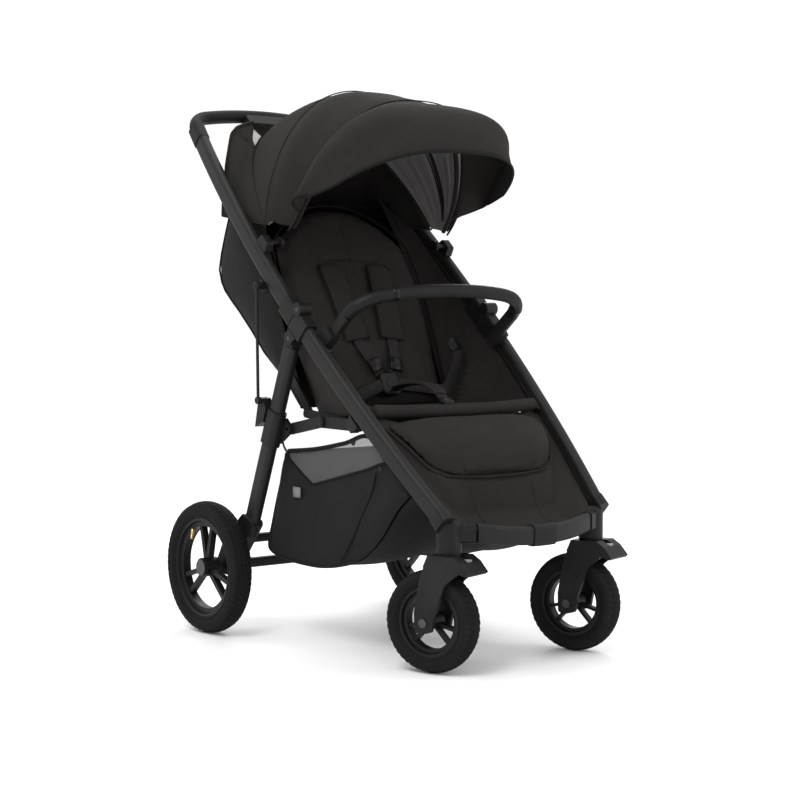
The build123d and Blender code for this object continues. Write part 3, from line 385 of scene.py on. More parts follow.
def grid(name, rows, look, body=None, around=False, thick=0.0, levels=0, lift=0.0, close=False):
    """Surface through a grid of points. around joins each row's ends."""
    rows = np.array(rows, float)
    n, m = rows.shape[:2]
    u, v = lengths(rows), lengths(rows.transpose(1, 0, 2))
    points = rows.reshape(-1, 3)
    uv = [(u[j], v[i]) for i in range(n) for j in range(m)]
    faces = []
    for i in range(n - 1):
        for j in range(m if around else m - 1):
            k = (j + 1) % m
            faces.append((i * m + j, i * m + k, (i + 1) * m + k, (i + 1) * m + j))
    if close:
        faces.append(tuple(range(m))[::-1])
        faces.append(tuple((n - 1) * m + j for j in range(m)))
    obj = make(name, points, faces, look, body, uv)
    if thick:
        solid = obj.modifiers.new("thickness", "SOLIDIFY")
        solid.thickness, solid.offset = thick, lift
    if levels:
        soft = obj.modifiers.new("smooth", "SUBSURF")
        soft.levels = soft.render_levels = levels
    return obj


def cloth(name, rows, look, body, thick=0.002):
    """Sheet of cloth with a thickness, smoothed once."""
    return grid(name, rows, look, body, thick=thick, levels=1)


def smooth_line(points, count):
    """Catmull-Rom line through the points."""
    p = [Vector(q) for q in points]
    p = [p[0] * 2 - p[1]] + p + [p[-1] * 2 - p[-2]]
    spans = len(p) - 3
    out = []
    for k in range(count):
        s = spans * k / (count - 1)
        i = min(int(s), spans - 1)
        t = s - i
        a, b, c, d = p[i:i + 4]
        curve = (2 * b) + (c - a) * t + (2 * a - 5 * b + 4 * c - d) * t * t + (3 * b - a - 3 * c + d) * t**3
        out.append(0.5 * curve)
    return out


def sweep(name, path, section, look, body=None, up=(0, 0, 1), closed=False, sizes=None, levels=0):
    """Section (side, up) points carried along a path. sizes scales it at each point."""
    path = [Vector(p) for p in path]
    n = len(path)
    rows = []
    for i, p in enumerate(path):
        after = path[(i + 1) % n] if closed else path[min(i + 1, n - 1)]
        before = path[i - 1] if closed or i else path[0]
        t = (after - before).normalized()
        u = Vector(up[i]) if hasattr(up[0], "__len__") else Vector(up)
        side = t.cross(u).normalized()
        top = side.cross(t).normalized()
        k = 1.0 if sizes is None else sizes[i]
        rows.append([p + side * (a * k) + top * (b * k) for a, b in section])
    if closed:
        rows.append(rows[0])
    return grid(name, rows, look, body, around=True, levels=levels, close=not closed)


def round_section(radius, count=12, flat=1.0):
    return [(radius * cos(2 * pi * k / count), radius * flat * sin(2 * pi * k / count)) for k in range(count)]


def strap_section(width, thick):
    h, t = width / 2, thick / 2
    return [(-h, 0), (-h + t, t), (0, t * 1.1), (h - t, t), (h, 0), (h - t, -t), (0, -t), (-h + t, -t)]


def strap(name, path, width, thick, up):
    """Flat webbing tape along a path."""
    return sweep(name, path, strap_section(width, thick), "webbing", "chassis", up=up)


def clip(name, path, width, thick, up):
    """Plastic adjuster or buckle bar on a tape."""
    return sweep(name, path, strap_section(width, thick), "gloss", "chassis", up=up)


def bake(obj):
    """Applies the modifiers, so that what follows works on the final mesh."""
    bpy.context.view_layer.update()
    mesh = bpy.data.meshes.new_from_object(obj.evaluated_get(bpy.context.evaluated_depsgraph_get()))
    obj.modifiers.clear()
    obj.data = mesh
    return obj


def inflate(obj, cap):
    """Fills a closed pad with air in a short cloth simulation, each point moving at most cap."""
    remesh = obj.modifiers.new("remesh", "REMESH")
    remesh.mode, remesh.voxel_size, remesh.use_smooth_shade = "VOXEL", 0.005, True
    bake(obj)
    rest = np.array([v.co for v in obj.data.vertices], float)
    settings = obj.modifiers.new("cloth", "CLOTH").settings
    settings.quality = 4
    settings.use_pressure = True
    settings.uniform_pressure_force = 4.0
    settings.effector_weights.gravity = 0.0
    scene = bpy.context.scene
    for step in range(1, 21):
        scene.frame_set(step)
    moved = obj.evaluated_get(bpy.context.evaluated_depsgraph_get()).data
    move = np.array([v.co for v in moved.vertices], float) - rest
    far = np.linalg.norm(move, axis=1, keepdims=True)
    place = rest + move * np.minimum(1.0, cap / np.maximum(far, 1e-9))
    obj.modifiers.clear()
    scene.frame_set(1)
    obj.data.vertices.foreach_set("co", place.ravel())
    obj.data.update()


def pad_mesh(name, middle, normal, thick, n, m):
    """Closed pad: middle(u, v) is its middle surface, n and m its cells along u and v from -1 to 1."""
    points, index, faces = [], {}, []
    for side in (1, -1):
        for i in range(n + 1):
            for j in range(m + 1):
                u, v = 2 * i / n - 1, 2 * j / m - 1
                edge = i in (0, n) or j in (0, m)
                if edge and side == -1:
                    continue
                t = 0.0 if edge else thick / 2 * ((1 - u**4) * (1 - v**4)) ** 0.45
                index[side, i, j] = len(points)
                points.append(Vector(middle(u, v)) + normal * (t * side))
    for side in (1, -1):
        def at(i, j):
            return index.get((side, i, j), index.get((1, i, j)))
        for i in range(n):
            for j in range(m):
                quad = (at(i, j), at(i + 1, j), at(i + 1, j + 1), at(i, j + 1))
                faces.append(quad if side == 1 else quad[::-1])
    return make(name, points, faces, "seat")


# ---- Canopy: cloth over its bows ----
# degrees about the pivots from the rear, radius, half width, squareness of the arch
hood = [
    (53.5, 0.3134, 0.2090, 2.45),
    (62.0, 0.3095, 0.2180, 2.30),
    (75.0, 0.3069, 0.2270, 2.08),
    (89.2, 0.3034, 0.2298, 2.02),
    (98.0, 0.3029, 0.2245, 2.40),
    (111.0, 0.3060, 0.2110, 2.30),
    (125.2, 0.3240, 0.1930, 2.51),
    (132.0, 0.3480, 0.2240, 3.50),
    (140.0, 0.3740, 0.2400, 3.25),
    (147.0, 0.3750, 0.2260, 2.80),
    (153.5, 0.3620, 0.2287, 2.90),
]
hood_columns = [np.array(c) for c in zip(*hood)]
rear_bow, mid_bow, front_seam, rim = 53.5, 89.4, 125.2, 153.5
lean_from, lean_height, most_lean = 89.0, 0.22, 30.0
cloth_t = 0.0022


def hood_at(angle):
    """Radius, half width and squareness at an angle, smoothed over a few degrees."""
    near = angle + np.linspace(-2.5, 2.5, 5)
    return [float(np.interp(near, hood_columns[0], c).mean()) for c in hood_columns[1:]]


def arch(angle, t, out=0.0):
    """Point on the canopy at an angle about the pivots, t from 0 at the left to 1 at the right."""
    radius, half, square = hood_at(angle)
    c, s = cos(pi * (1 - t)), sin(pi * (1 - t))
    x = (half + out) * (abs(c) ** (2 / square)) * (1 if c > 0 else -1)
    r = (radius + out) * max(s, 0.0) ** (2 / square)
    # near the pivots the front seam leans forward, less so towards the middle bow and the rim
    lean = most_lean * max(0.0, 1 - r / lean_height) ** 1.4
    lean *= min(1.0, max(0.0, (angle - lean_from) / 36.0)) * min(1.0, (rim - angle) / 28.3)
    a = radians(angle + lean)
    return Vector((x, canopy_y + r * cos(a), canopy_z + r * sin(a)))


def hood_rows(first, last, count, across, t_start=0.03, out=0.0, fold=0.0, ends=None):
    """Rows of points over the canopy between two angles. fold is the depth of its pleats."""
    rows = []
    for i in range(count):
        k = i / (count - 1)
        angle = first + (last - first) * k
        start = ends(k) if ends else t_start
        row = []
        for j in range(across):
            t = start + (1 - 2 * start) * j / (across - 1)
            p = arch(angle, t, out)
            if fold:
                uneven = abs(2 * t - 1) ** 1.5 * (0.6 + 0.4 * sin(angle * 1.7 + t * 9))
                p = arch(angle, t, out - fold * uneven * abs(sin(pi * k * 3.5 + t * 2)))
            row.append(p)
        rows.append(row)
    return rows


def end_of_radius(angle, r):
    """The t at which the arch at an angle is r from the pivots."""
    radius, _, square = hood_at(angle)
    return float(np.arcsin(min(1.0, (r / radius)) ** (square / 2))) / pi


def visor_ends(k):
    """The t at the visor's two ends, k from its seam to its rim."""
    rise = 0.088 if k < 0.86 else 0.088 + 0.3 * (k - 0.86)
    return end_of_radius(front_seam + (rim - front_seam) * k, 0.088 + rise * k)


def arch_line(angle, t0, t1, count, out=0.0):
    return [arch(angle, t0 + (t1 - t0) * k / (count - 1), out) for k in range(count)]


def canopy_panel(name, rows, body, thick=cloth_t):
    """Outer cloth of the canopy, standing off its rows to the outside."""
    return grid(name, rows, "canopy", body, thick=thick, levels=1, lift=1)


def on_back_panel(x, y, z):
    """Point of the back panel, bowed to the rear in its middle."""
    return Vector((x, y + 0.012 * (1 - (x / 0.19) ** 2), z))


rear = canopy_panel("canopy_rear_cloth", hood_rows(rear_bow, 90.0, 16, 49), "upper_frame")
front = canopy_panel("canopy_front_cloth", hood_rows(88.6, 126.0, 18, 49, out=0.0012), "canopy_mid")
visor = canopy_panel("canopy_visor_cloth", hood_rows(124.6, rim, 14, 57, out=0.003, ends=visor_ends), "visor",
                     thick=0.003)
# y, z and half width of the back panel from its top edge down
back_edge = [(0.286, 1.026, 0.130), (0.292, 1.014, 0.165), (0.298, 1.0, 0.176), (0.310, 0.94, 0.181),
             (0.322, 0.872, 0.181), (0.326, 0.835, 0.180)]
back_rows = []
for y, z, w in back_edge:
    back_rows.append([on_back_panel(x, y, z) for x in np.linspace(-w - 0.002, w + 0.002, 25)])
back = canopy_panel("canopy_back_cloth", back_rows, "upper_frame")
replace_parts(rear, "canopy_rear_panel")
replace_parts(front, "canopy_front_panel")
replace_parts(visor, "canopy_visor")
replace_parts(back, "canopy_back_panel")


def canopy_side(s, a, b, out=0.0):
    """Point on the panel between the rear bow and the back panel; a runs up, b runs back."""
    t = 0.03 + 0.30 * a
    start = arch(rear_bow, t if s < 0 else 1 - t)
    k = (1 - a) * (len(back_edge) - 1)
    i = min(int(k), len(back_edge) - 2)
    (y0, z0, w0), (y1, z1, w1) = back_edge[i], back_edge[i + 1]
    f = k - i
    end = on_back_panel(s * (w0 + (w1 - w0) * f), y0 + (y1 - y0) * f, z0 + (z1 - z0) * f)
    p = start.lerp(end, b)
    p.x += s * (0.006 * sin(pi * b) + out + 0.0016 * sin(7 * b + 9 * a) * sin(pi * b))
    return p


# ---- Canopy trim: seams, bows in their casings, pleated lining, vents, snaps ----
def bound_edge(name, line, body, radius=0.0022, look="binding"):
    return sweep(name, line, round_section(radius, 8), look, body, up=(0.03, 0.02, 1))


for name, s in sides:
    rows = [[canopy_side(s, a, b) for b in np.linspace(0, 1, 13)] for a in np.linspace(0, 1, 22)]
    canopy_panel(f"canopy_side_{name}", rows, "upper_frame")
    vent = []
    for a in np.linspace(0.815, 0.985, 8):
        vent.append([canopy_side(s, a, (a - 0.80) * 2.6 * b, 0.0035) for b in np.linspace(0.04, 1, 7)])
    grid(f"canopy_vent_{name}", vent, "vent", "upper_frame")
    seam = [canopy_side(s, 0.80, b, 0.003) for b in np.linspace(0.3, 1, 12)]
    bound_edge(f"canopy_side_seam_{name}", seam, "upper_frame", 0.0011, "canopy")
    seam = [canopy_side(s, a, 1) for a in np.linspace(0, 1, 24)]
    bound_edge(f"canopy_back_seam_{name}", seam, "upper_frame", 0.0042, "canopy")
    hem = [canopy_side(s, 0, b) for b in np.linspace(0, 1, 16)]
    bound_edge(f"canopy_side_hem_{name}", hem, "upper_frame", 0.0022, "canopy")
bound_edge("canopy_back_hem", back_rows[-1], "upper_frame", 0.0022, "canopy")
bound_edge("rear_seam", arch_line(mid_bow, 0.03, 0.97, 70, 0.0034), "canopy_mid", 0.0012, "canopy")
bound_edge("visor_seam", arch_line(124.9, 0.065, 0.935, 70, 0.0062), "visor", 0.0012)
for name, t0, t1 in (("left", 0.02, 0.12), ("right", 0.88, 0.98)):
    bound_edge(f"canopy_front_hem_{name}", arch_line(126.0, t0, t1, 14, 0.001), "canopy_mid", 0.002, "canopy")
visor_angles = [(front_seam + (rim - front_seam) * k, visor_ends(k)) for k in np.linspace(0, 1, 12)]
visor_hem = [arch(angle, t, 0.003) for angle, t in visor_angles[:-1]]
visor_hem += arch_line(rim, visor_ends(1.0), 1 - visor_ends(1.0), 70, 0.003)
visor_hem += [arch(angle, 1 - t, 0.003) for angle, t in visor_angles[-2::-1]]
bound_edge("visor_rim_binding", visor_hem, "visor", 0.0024)
pleated = hood_rows(90.5, 125.0, 30, 81, t_start=0.035, out=-0.006, fold=0.012)
cloth("canopy_lining_front", pleated, "lining", "canopy_mid",
      0.0)
rear_inside = hood_rows(55.0, 89.0, 22, 61, t_start=0.035, out=-0.006, fold=0.008)
cloth("canopy_lining_rear", rear_inside, "lining", "upper_frame",
      0.0)
visor_inside = hood_rows(126.0, rim - 0.7, 14, 57, out=-0.0015,
                         ends=lambda k: visor_ends(0.04 + 0.92 * k) + 0.004)
cloth("visor_lining", visor_inside, "canopy", "visor",
      0.0)
bows = (
    ("rear", 55.2, "upper_frame", 0.035, "canopy_bow_rear"),
    ("middle", 92.5, "canopy_mid", 0.05, None),
    ("front", 123.0, "canopy_mid", 0.03, "canopy_bow_front"),
)
for name, angle, body, first, hides in bows:
    bow = sweep(f"canopy_bow_in_{name}_casing", arch_line(angle, first, 1 - first, 90, -0.0075),
                strap_section(0.011, 0.0075), "canopy", body, up=(0.03, 0.02, 1))
    if hides:
        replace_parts(bow, hides)
# radius and height of the rings of a snap, from its edge to its middle
snap_dome = ((0.0062, -0.001), (0.0066, 0.0008), (0.0056, 0.0016), (0.0038, 0.0011), (0.0036, 0.0018),
             (0.0006, 0.0022))
for side, t in (("left", 0.118), ("right", 0.882)):
    here, near_it = arch(131.5, t, 0.0055), arch(132.5, t, 0.0055)
    out = (here - Vector((0, canopy_y, canopy_z))).normalized()
    across = (near_it - here).normalized()
    spokes = [Matrix.Rotation(a, 3, out) @ across for a in np.linspace(0, 2 * pi, 20, endpoint=False)]
    snap = [[here + out * h + spoke * r for spoke in spokes] for r, h in snap_dome]
    grid(f"visor_snap_{side}", snap, "gloss", "visor", around=True)


# ---- Seat, leg rest and backrest: padded pieces ----
def nearest(points, line):
    """Distance of each point from a polyline."""
    best = np.full(len(points), 1e9)
    line = np.array([tuple(p) for p in line], float)
    for a, b in zip(line[:-1], line[1:]):
        d = b - a
        t = np.clip(((points - a) @ d) / max(d @ d, 1e-12), 0, 1)[:, None]
        best = np.minimum(best, np.linalg.norm(points - a - t * d, axis=1))
    return best


def groove(obj, lines, depth=0.0026, width=0.0034):
    """Sewn channels: the surface pulls in along each line."""
    mesh = obj.data
    points = np.array([v.co for v in mesh.vertices], float)
    normals = np.array([v.normal for v in mesh.vertices], float)
    pull = np.zeros(len(points))
    for line in lines:
        pull = np.maximum(pull, np.exp(-((nearest(points, line) / width) ** 2)))
    points -= normals * (pull * depth)[:, None]
    mesh.vertices.foreach_set("co", points.ravel())
    mesh.update()


def finished_pad(obj, body, hides, lines, cap):
    inflate(obj, cap)
    soft = obj.modifiers.new("smooth", "SUBSURF")
    soft.levels = soft.render_levels = 1
    bake(obj)
    groove(obj, lines)
    obj.data.polygons.foreach_set("use_smooth", [True] * len(obj.data.polygons))
    obj.data.materials.clear()
    obj.data.materials.append(looks["seat"])
    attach(obj, body)
    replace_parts(obj, hides)


def seat_at(u, v):
    """Middle of the seat pad, v from -1 at the back to 1 at the front."""
    return 0.186 * u, -0.093 - 0.109 * v, 0.4405 + 0.0065 * v + 0.006 * v * v


seat = pad_mesh("seat_pad", seat_at, Vector((0, 0, 1)), 0.028, 40, 28)
seat_lines = [[(x, -0.02, 0.46), (x, -0.19, 0.468)] for x in (-0.11, 0.11)]
finished_pad(seat, "chassis", "seat_cushion", seat_lines, cap=0.005)

rest_under = [(-0.216, 0.430), (-0.252, 0.411), (-0.284, 0.384), (-0.303, 0.358), (-0.319, 0.345)]
rest_halves, rest_heights = (0.188, 0.182, 0.168, 0.148, 0.122), (0.020, 0.027, 0.029, 0.024, 0.008)
rest_spine = smooth_line([(0, y, z) for y, z in rest_under], 41)


def rest_at(u, v, height=0.0):
    """Point over the leg rest's underside, v from -1 at its hinge to 1 at its lower edge, and its normal."""
    k = (v + 1) * 20
    i = min(max(int(k), 0), 39)
    p = rest_spine[i].lerp(rest_spine[i + 1], k - i)
    d = (rest_spine[i + 1] - rest_spine[i]).normalized()
    stations = np.linspace(-1, 1, 5)
    half = float(np.interp(v, stations, rest_halves))
    dome = float(np.interp(v, stations, rest_heights)) * (1 - abs(u) ** 3.2) ** 0.7 * height
    bow = 0.010 * (1 - u * u) * max(0.0, v)
    normal = Vector((0, d.z, -d.y))
    return Vector((half * u, p.y, p.z)) + d * bow + normal * dome, normal


def dome_pad(name, at, n, m):
    """Closed pad with a flat underside, domed by at(u, v, 1)."""
    us, vs = np.linspace(-1, 1, n), np.linspace(-1, 1, m)
    top = [[at(u, v, 1.0)[0] for u in us] for v in vs]
    under = [[at(u, v, 0.0)[0] - at(u, v)[1] * 0.004 * (1 - abs(u) ** 6) for u in us] for v in vs]
    rows = np.array([[*a, *b[::-1]] for a, b in zip(top, under)])
    return grid(name, rows, "seat", around=True, close=True)


patch_half = [(0.66, 0.99), (0.66, 0.70), (0.64, 0.40), (0.57, 0.22), (0.46, 0.16), (0.2, 0.14)]
rest_patch = [(-u, v) for u, v in patch_half] + patch_half[::-1]
rest_side = [(0.86, -0.95), (0.83, -0.5), (0.80, -0.12), (0.74, 0.06), (0.62, 0.16)]
rest_lines = [[rest_at(s * u, v, 1)[0] for u, v in line] for s,
              line in ((1, rest_patch), (1, rest_side), (-1, rest_side))]
leg_rest = dome_pad("leg_rest_cushion", rest_at, 41, 31)
finished_pad(leg_rest, "leg_rest", "leg_rest_pad", rest_lines, cap=0.004)

# distance up the backrest and half width there
back_halves = ((0.0, 0.150), (0.06, 0.160), (0.14, 0.170), (0.22, 0.176), (0.30, 0.176), (0.36, 0.170),
               (0.47, 0.158))


def back_at(u, v, off):
    """Point of the backrest pad, u across and v up it from -1 to 1."""
    top = 0.458 - 0.088 * abs(u) ** 2.4
    along = 0.002 + (v + 1) / 2 * (top - 0.002)
    half = float(np.interp(along, *zip(*back_halves)))
    return on_back(half * u, along, off)


back_pad = pad_mesh("backrest_pad", lambda u, v: back_at(u, v, -0.009), Vector(back_normal), 0.026, 40, 52)
face = 0.009
back_lines = [[(0, 0.03), (0, 0.45)], [(-0.03, 0.262), (0.03, 0.262)]]
for s in (-1, 1):
    back_lines.append([(s * x, a) for x, a in ((0.112, 0.03), (0.118, 0.10), (0.112, 0.15), (0.098, 0.21))])
    back_lines.append([(s * x, 0.148) for x in (0.07, 0.115)])
    back_lines.append([(s * x, 0.262) for x in (0.168, 0.1)])
back_lines = [[on_back(x, a, face) for x, a in line] for line in back_lines]
finished_pad(back_pad, "backrest", "backrest_cushion", back_lines, cap=0.008)
head_seam = [on_back(x, 0.330 - 0.7 * x * x, face) for x in np.linspace(-0.066, 0.066, 9)]
groove(back_pad, [head_seam], 0.008, 0.0042)

gusset = [[Vector((x, y, z)) for x in np.linspace(-0.165, 0.165, 13)] for y,
          z in ((0.000, 0.428), (0.012, 0.440), (0.022, 0.456), (0.032, 0.474))]
cloth("seat_gusset", gusset, "seat", "chassis")
roll_line = []
for x in np.linspace(-0.2, 0.2, 40):
    rise = (x / 0.19) ** 2
    roll_line.append((x, -0.2075 + 0.006 * rise, 0.4545 + 0.005 * rise))
uneven_round = [(a * (1 + 0.06 * sin(3 * i)), b) for i, (a, b) in enumerate(round_section(0.0125, 14))]
roll = sweep("seat_front_roll", roll_line, uneven_round, "seat", "chassis", levels=1)


def edge_piping(name, line, body, look="binding", radius=0.0021, up=(0, 0, 1)):
    return sweep(name, line, round_section(radius, 8), look, body, up=up)


outline = [back_at(-1.004, v, -0.004) for v in np.linspace(-1, 1, 30)]
outline += [back_at(u, 1.0, -0.004) for u in np.linspace(-0.98, 0.98, 40)]
outline += [back_at(1.004, v, -0.004) for v in np.linspace(1, -1, 30)]
edge_piping("backrest_piping", outline, "backrest", up=back_normal)
rest_edge = [(-1, a) for a in np.linspace(-0.95, 0.98, 20)]
rest_edge += [(a, 1.0) for a in np.linspace(-0.98, 0.98, 24)]
rest_edge += [(1, a) for a in np.linspace(0.98, -0.95, 20)]
edge_piping("leg_rest_piping", [rest_at(u, v)[0] for u, v in rest_edge], "leg_rest", look="seat",
            up=(0, -0.6, 0.8))


# ---- Shell behind the backrest, and the side wings that join seat and tubes ----
# z and y of the shell's rear face, from its top down
shell_back = [(0.860, 0.300), (0.850, 0.326), (0.836, 0.338), (0.80, 0.354), (0.76, 0.370),
              (0.726, 0.378), (0.70, 0.368), (0.682, 0.354), (0.66, 0.327), (0.64, 0.301), (0.60, 0.256),
              (0.558, 0.214), (0.52, 0.160), (0.49, 0.117), (0.468, 0.083), (0.455, 0.062)]
shell_rows, shell_half = [], 0.182
for z, y in shell_back:
    front_y = recline_y + (z - recline_z) / back_s * back_c + 0.024
    depth = max(y - front_y, 0.012)
    turn = min(0.055, depth * 0.8)
    half_line = [
        (shell_half, front_y), (shell_half + 0.004, front_y + depth * 0.45),
        (shell_half - turn * 0.3, y - turn * 0.3), (shell_half - turn, y - 0.003),
        (shell_half * 0.4, y + 0.003),
    ]
    around = [(-x, b, z) for x, b in half_line] + [(0, y + 0.004, z)] + [(x, b, z) for x, b in half_line[::-1]]
    line = smooth_line(around, 61)
    slack = sin(pi * min(max((z - 0.46) / 0.4, 0), 1))
    for k, p in enumerate(line):
        p.y += 0.0022 * slack * sin(k * 1.35 + z * 26)
    shell_rows.append(line)
shell_top = [Vector((p.x * 0.985, 0.245 + (p.y - 0.30) * 0.25, 0.862)) for p in shell_rows[0]]
shell = cloth("backrest_shell_cloth", [shell_top] + shell_rows, "shell", "backrest")
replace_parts(shell, "backrest_shell")
edge_piping("shell_bottom_binding", shell_rows[-1], "backrest")
for name, k, x in (("", 12, -0.001), ("_far", 48, 0.001)):
    corner = [row[k] + Vector((x, 0.002, 0)) for row in shell_rows]
    edge_piping(f"shell_corner_piping{name}", corner, "backrest", up=(1, 0, 0))


def folds_away(obj):
    """Cloth between seat and tubes: its modifiers applied, with a mesh of its own."""
    bake(obj)
    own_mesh(obj)


for name, s in sides:
    rows = []
    for a in np.linspace(0, 1, 27):
        v = 0.262 + 0.545 * a
        inner = on_back(s * (0.160 + 0.010 * sin(pi * a) - 0.05 * max(0.0, a - 0.75)), 0.500 * a, -0.018)
        outer = on_frame(s * (bow_x(v) - 0.008), v, -0.006)
        row = []
        for b in np.linspace(0, 1, 15):
            sag = sin(pi * b) * (0.010 + 0.012 * sin(pi * a))
            crease = 0.004 * sin(a * 15 + b * 6 + 2 * sin(a * 5)) * sin(pi * b)
            hang = Vector((s * 0.3, 0.6, -0.5)) * sag + Vector((0, 0.5, -0.5)) * crease
            row.append(inner.lerp(outer, b) + hang)
        rows.append(row)
    folds_away(cloth(f"side_wing_{name}", rows, "seat", "chassis"))
    edge = [on_frame(s * (bow_x(v) - 0.0165), v, 0.001) for v in np.linspace(0.262, 0.70, 30)]
    folds_away(edge_piping(f"side_wing_piping_{name}", edge, "chassis"))

# calf cloth: from the leg rest's hinge down to the front bar, its middle set back between two seams
calf_spine = smooth_line([(0, -0.214, 0.437), (0, -0.262, 0.398), (0, -0.318, 0.342), (0, -0.338, 0.298),
                          (0, -0.350, 0.272), (0, -0.385, 0.254), (0, -0.430, 0.256)], 37)
calf_rows = []
for k, spine in enumerate(calf_spine):
    a = k / 36
    if a < 0.86:
        v = 0.262 - 0.235 * a
        edge = on_frame(bow_x(v) - 0.011, v, -0.006)
    else:
        last_v = 0.06
        last_edge = on_frame(bow_x(last_v) - 0.011, last_v, -0.006)
        edge = last_edge.lerp(Vector((0.160, -0.410, 0.262)), (a - 0.86) / 0.14)
    seam = min(float(np.interp(a, (0, 0.45, 0.8, 1), (0.150, 0.130, 0.119, 0.119))), edge.x - 0.02)
    row = []
    for u in np.linspace(-1, 1, 49):
        x = abs(u) * edge.x
        if x <= seam:
            hem = 0.014 * (x / 0.15) ** 2 * max(0.0, (a - 0.8) / 0.2)
            p = Vector((x, spine.y + hem, spine.z + hem * 0.6))
        else:
            f = (x - seam) / (edge.x - seam)
            f = f * f * (3 - 2 * f) * 0.5 + sqrt(f) * 0.5
            p = Vector((x, spine.y + (edge.y - spine.y) * f, spine.z + (edge.z - spine.z) * f))
        scallop = 0.0016 * sin(x * 260) * max(0.0, 1 - abs(a - 0.80) * 9)
        row.append(Vector((x * (1 if u > 0 else -1), p.y - scallop,
                           p.z + 0.003 * sin(a * 9 + abs(u) * 4) * (1 - a) * a)))
    calf_rows.append(row)
calf = cloth("calf_cloth", calf_rows, "seat", "chassis",
             0.0022)
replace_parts(calf, "calf_panel")
edge_piping("calf_hem", [p + Vector((0, 0.001, 0.001)) for p in calf_rows[-1]], "chassis", radius=0.0028,
            look="seat")
for name, u in (("left", 15), ("right", 33)):
    seam = [row[u] + Vector((0, -0.001, 0.001)) for row in calf_rows[14:33]]
    edge_piping(f"calf_seam_{name}", seam, "chassis", look="seat", radius=0.0013)

# ---- Harness ----
shoulder_line = ((0.062, 0.318, 0.0075), (0.060, 0.300, 0.0165), (0.055, 0.26, 0.0185), (0.051, 0.21, 0.0185),
                 (0.046, 0.165, 0.0175), (0.043, 0.146, 0.0155))
tape_line = ((0.044, 0.16, 0.014), (0.042, 0.138, 0.017), (0.034, 0.11, 0.021), (0.024, 0.082, 0.023),
             (0.018, 0.068, 0.0215))
pad_half = [(0.030, 0), (0.028, 0.0035), (0.015, 0.0058)]
pad_section = [(-a, b) for a, b in pad_half] + [(0, 0.0062)] + pad_half[::-1]
pad_section += [(0.027, -0.0025), (0, -0.003), (-0.027, -0.0025)]
waist_up, crotch_up = (0, -0.9, 0.3), (0, 0.2, 1)
for name, s in sides:
    path = smooth_line([on_back(s * x, a, o) for x, a, o in shoulder_line], 30)
    widths = [0.66 + 0.34 * min(1, k / 5) for k in range(30)]
    shoulder = sweep(f"shoulder_pad_{name}", path, pad_section, "seat", "backrest",
                     up=back_normal,
                     sizes=widths, levels=1)
    if s < 0:
        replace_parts(shoulder, "shoulder_pads")
    for e in (-0.0275, 0.0275):
        line = [p + Vector((e * w, 0, 0)) + Vector(back_normal) * 0.0015 for p, w in zip(path, widths)]
        edge = f"shoulder_pad_edge_{name}_{'in' if e * s < 0 else 'out'}"
        edge_piping(edge, line, "backrest", radius=0.0014, up=back_normal)
    tape = smooth_line([on_back(s * x, a, o) for x, a, o in tape_line], 24)
    strap(f"shoulder_tape_{name}", tape, 0.025, 0.0016, back_normal)
    low_end, high_end = [on_back(s * (0.026 + d * 0.3), 0.086 + d, 0.026) for d in (-0.013, 0.013)]
    crown = (low_end + high_end) / 2 + Vector((0, -0.0015, 0.001))
    clip(f"tape_adjuster_{name}", smooth_line([low_end, crown, high_end], 7), 0.030, 0.005, back_normal)
    low = 0.016 if s < 0 else 0.0
    waist = smooth_line([
        (s * 0.158, 0.010, 0.580), (s * 0.166, -0.008, 0.560), (s * 0.160, -0.010, 0.530),
        (s * 0.150, -0.006, 0.500), (s * 0.132, -0.004, 0.482 - low), (s * 0.090, 0.001, 0.488 - low),
        (s * 0.022, 0.000, 0.496),
    ], 40)
    strap(f"waist_tape_{name}", waist, 0.024, 0.0016, waist_up)
    high = smooth_line([(s * 0.157, 0.008, 0.583), (s * 0.163, -0.001, 0.572), (s * 0.165, -0.007, 0.562)], 7)
    clip(f"waist_adjuster_{name}", high, 0.031, 0.0055, waist_up)

crotch_line = ((-0.010, 0.484), (-0.035, 0.493), (-0.075, 0.499), (-0.115, 0.499), (-0.145, 0.489),
               (-0.165, 0.474),
               (-0.184, 0.4655))
crotch = smooth_line([(0, y, z) for y, z in crotch_line], 36)
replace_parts(strap("crotch_tape", crotch, 0.026, 0.0018, crotch_up), "crotch_strap")
crotch_section = [(-0.019, 0), (-0.017, 0.004), (0, 0.006), (0.017, 0.004), (0.019, 0), (0, -0.0035)]
crotch_pad = sweep("crotch_pad", crotch[3:27], crotch_section, "seat", "chassis", up=crotch_up,
                   levels=1)
clip("crotch_clip", crotch[29:34], 0.034, 0.0065, crotch_up)

# ---- Basket: a lofted bag hung between the frame and the rear axle ----
basket_half = 0.2075
rim_line = [(0.057, 0.371), (-0.030, 0.380), (-0.120, 0.396), (-0.194, 0.4125), (-0.255, 0.365),
            (-0.317, 0.316)]
belly_line = [(0.057, 0.371), (0.080, 0.325), (0.100, 0.275), (0.118, 0.222), (0.130, 0.184), (0.118, 0.168),
              (0.070, 0.158), (0.0, 0.155),
              (-0.052, 0.157), (-0.112, 0.167), (-0.172, 0.186), (-0.227, 0.226), (-0.277, 0.284),
              (-0.317, 0.316)]
window_low = [(0.066, 0.365), (0.050, 0.350), (-0.012, 0.314), (-0.026, 0.3125), (-0.10, 0.330),
              (-0.180, 0.349), (-0.255, 0.365), (-0.317, 0.316)]
belly = smooth_line([(0, y, z) for y, z in belly_line], 49)


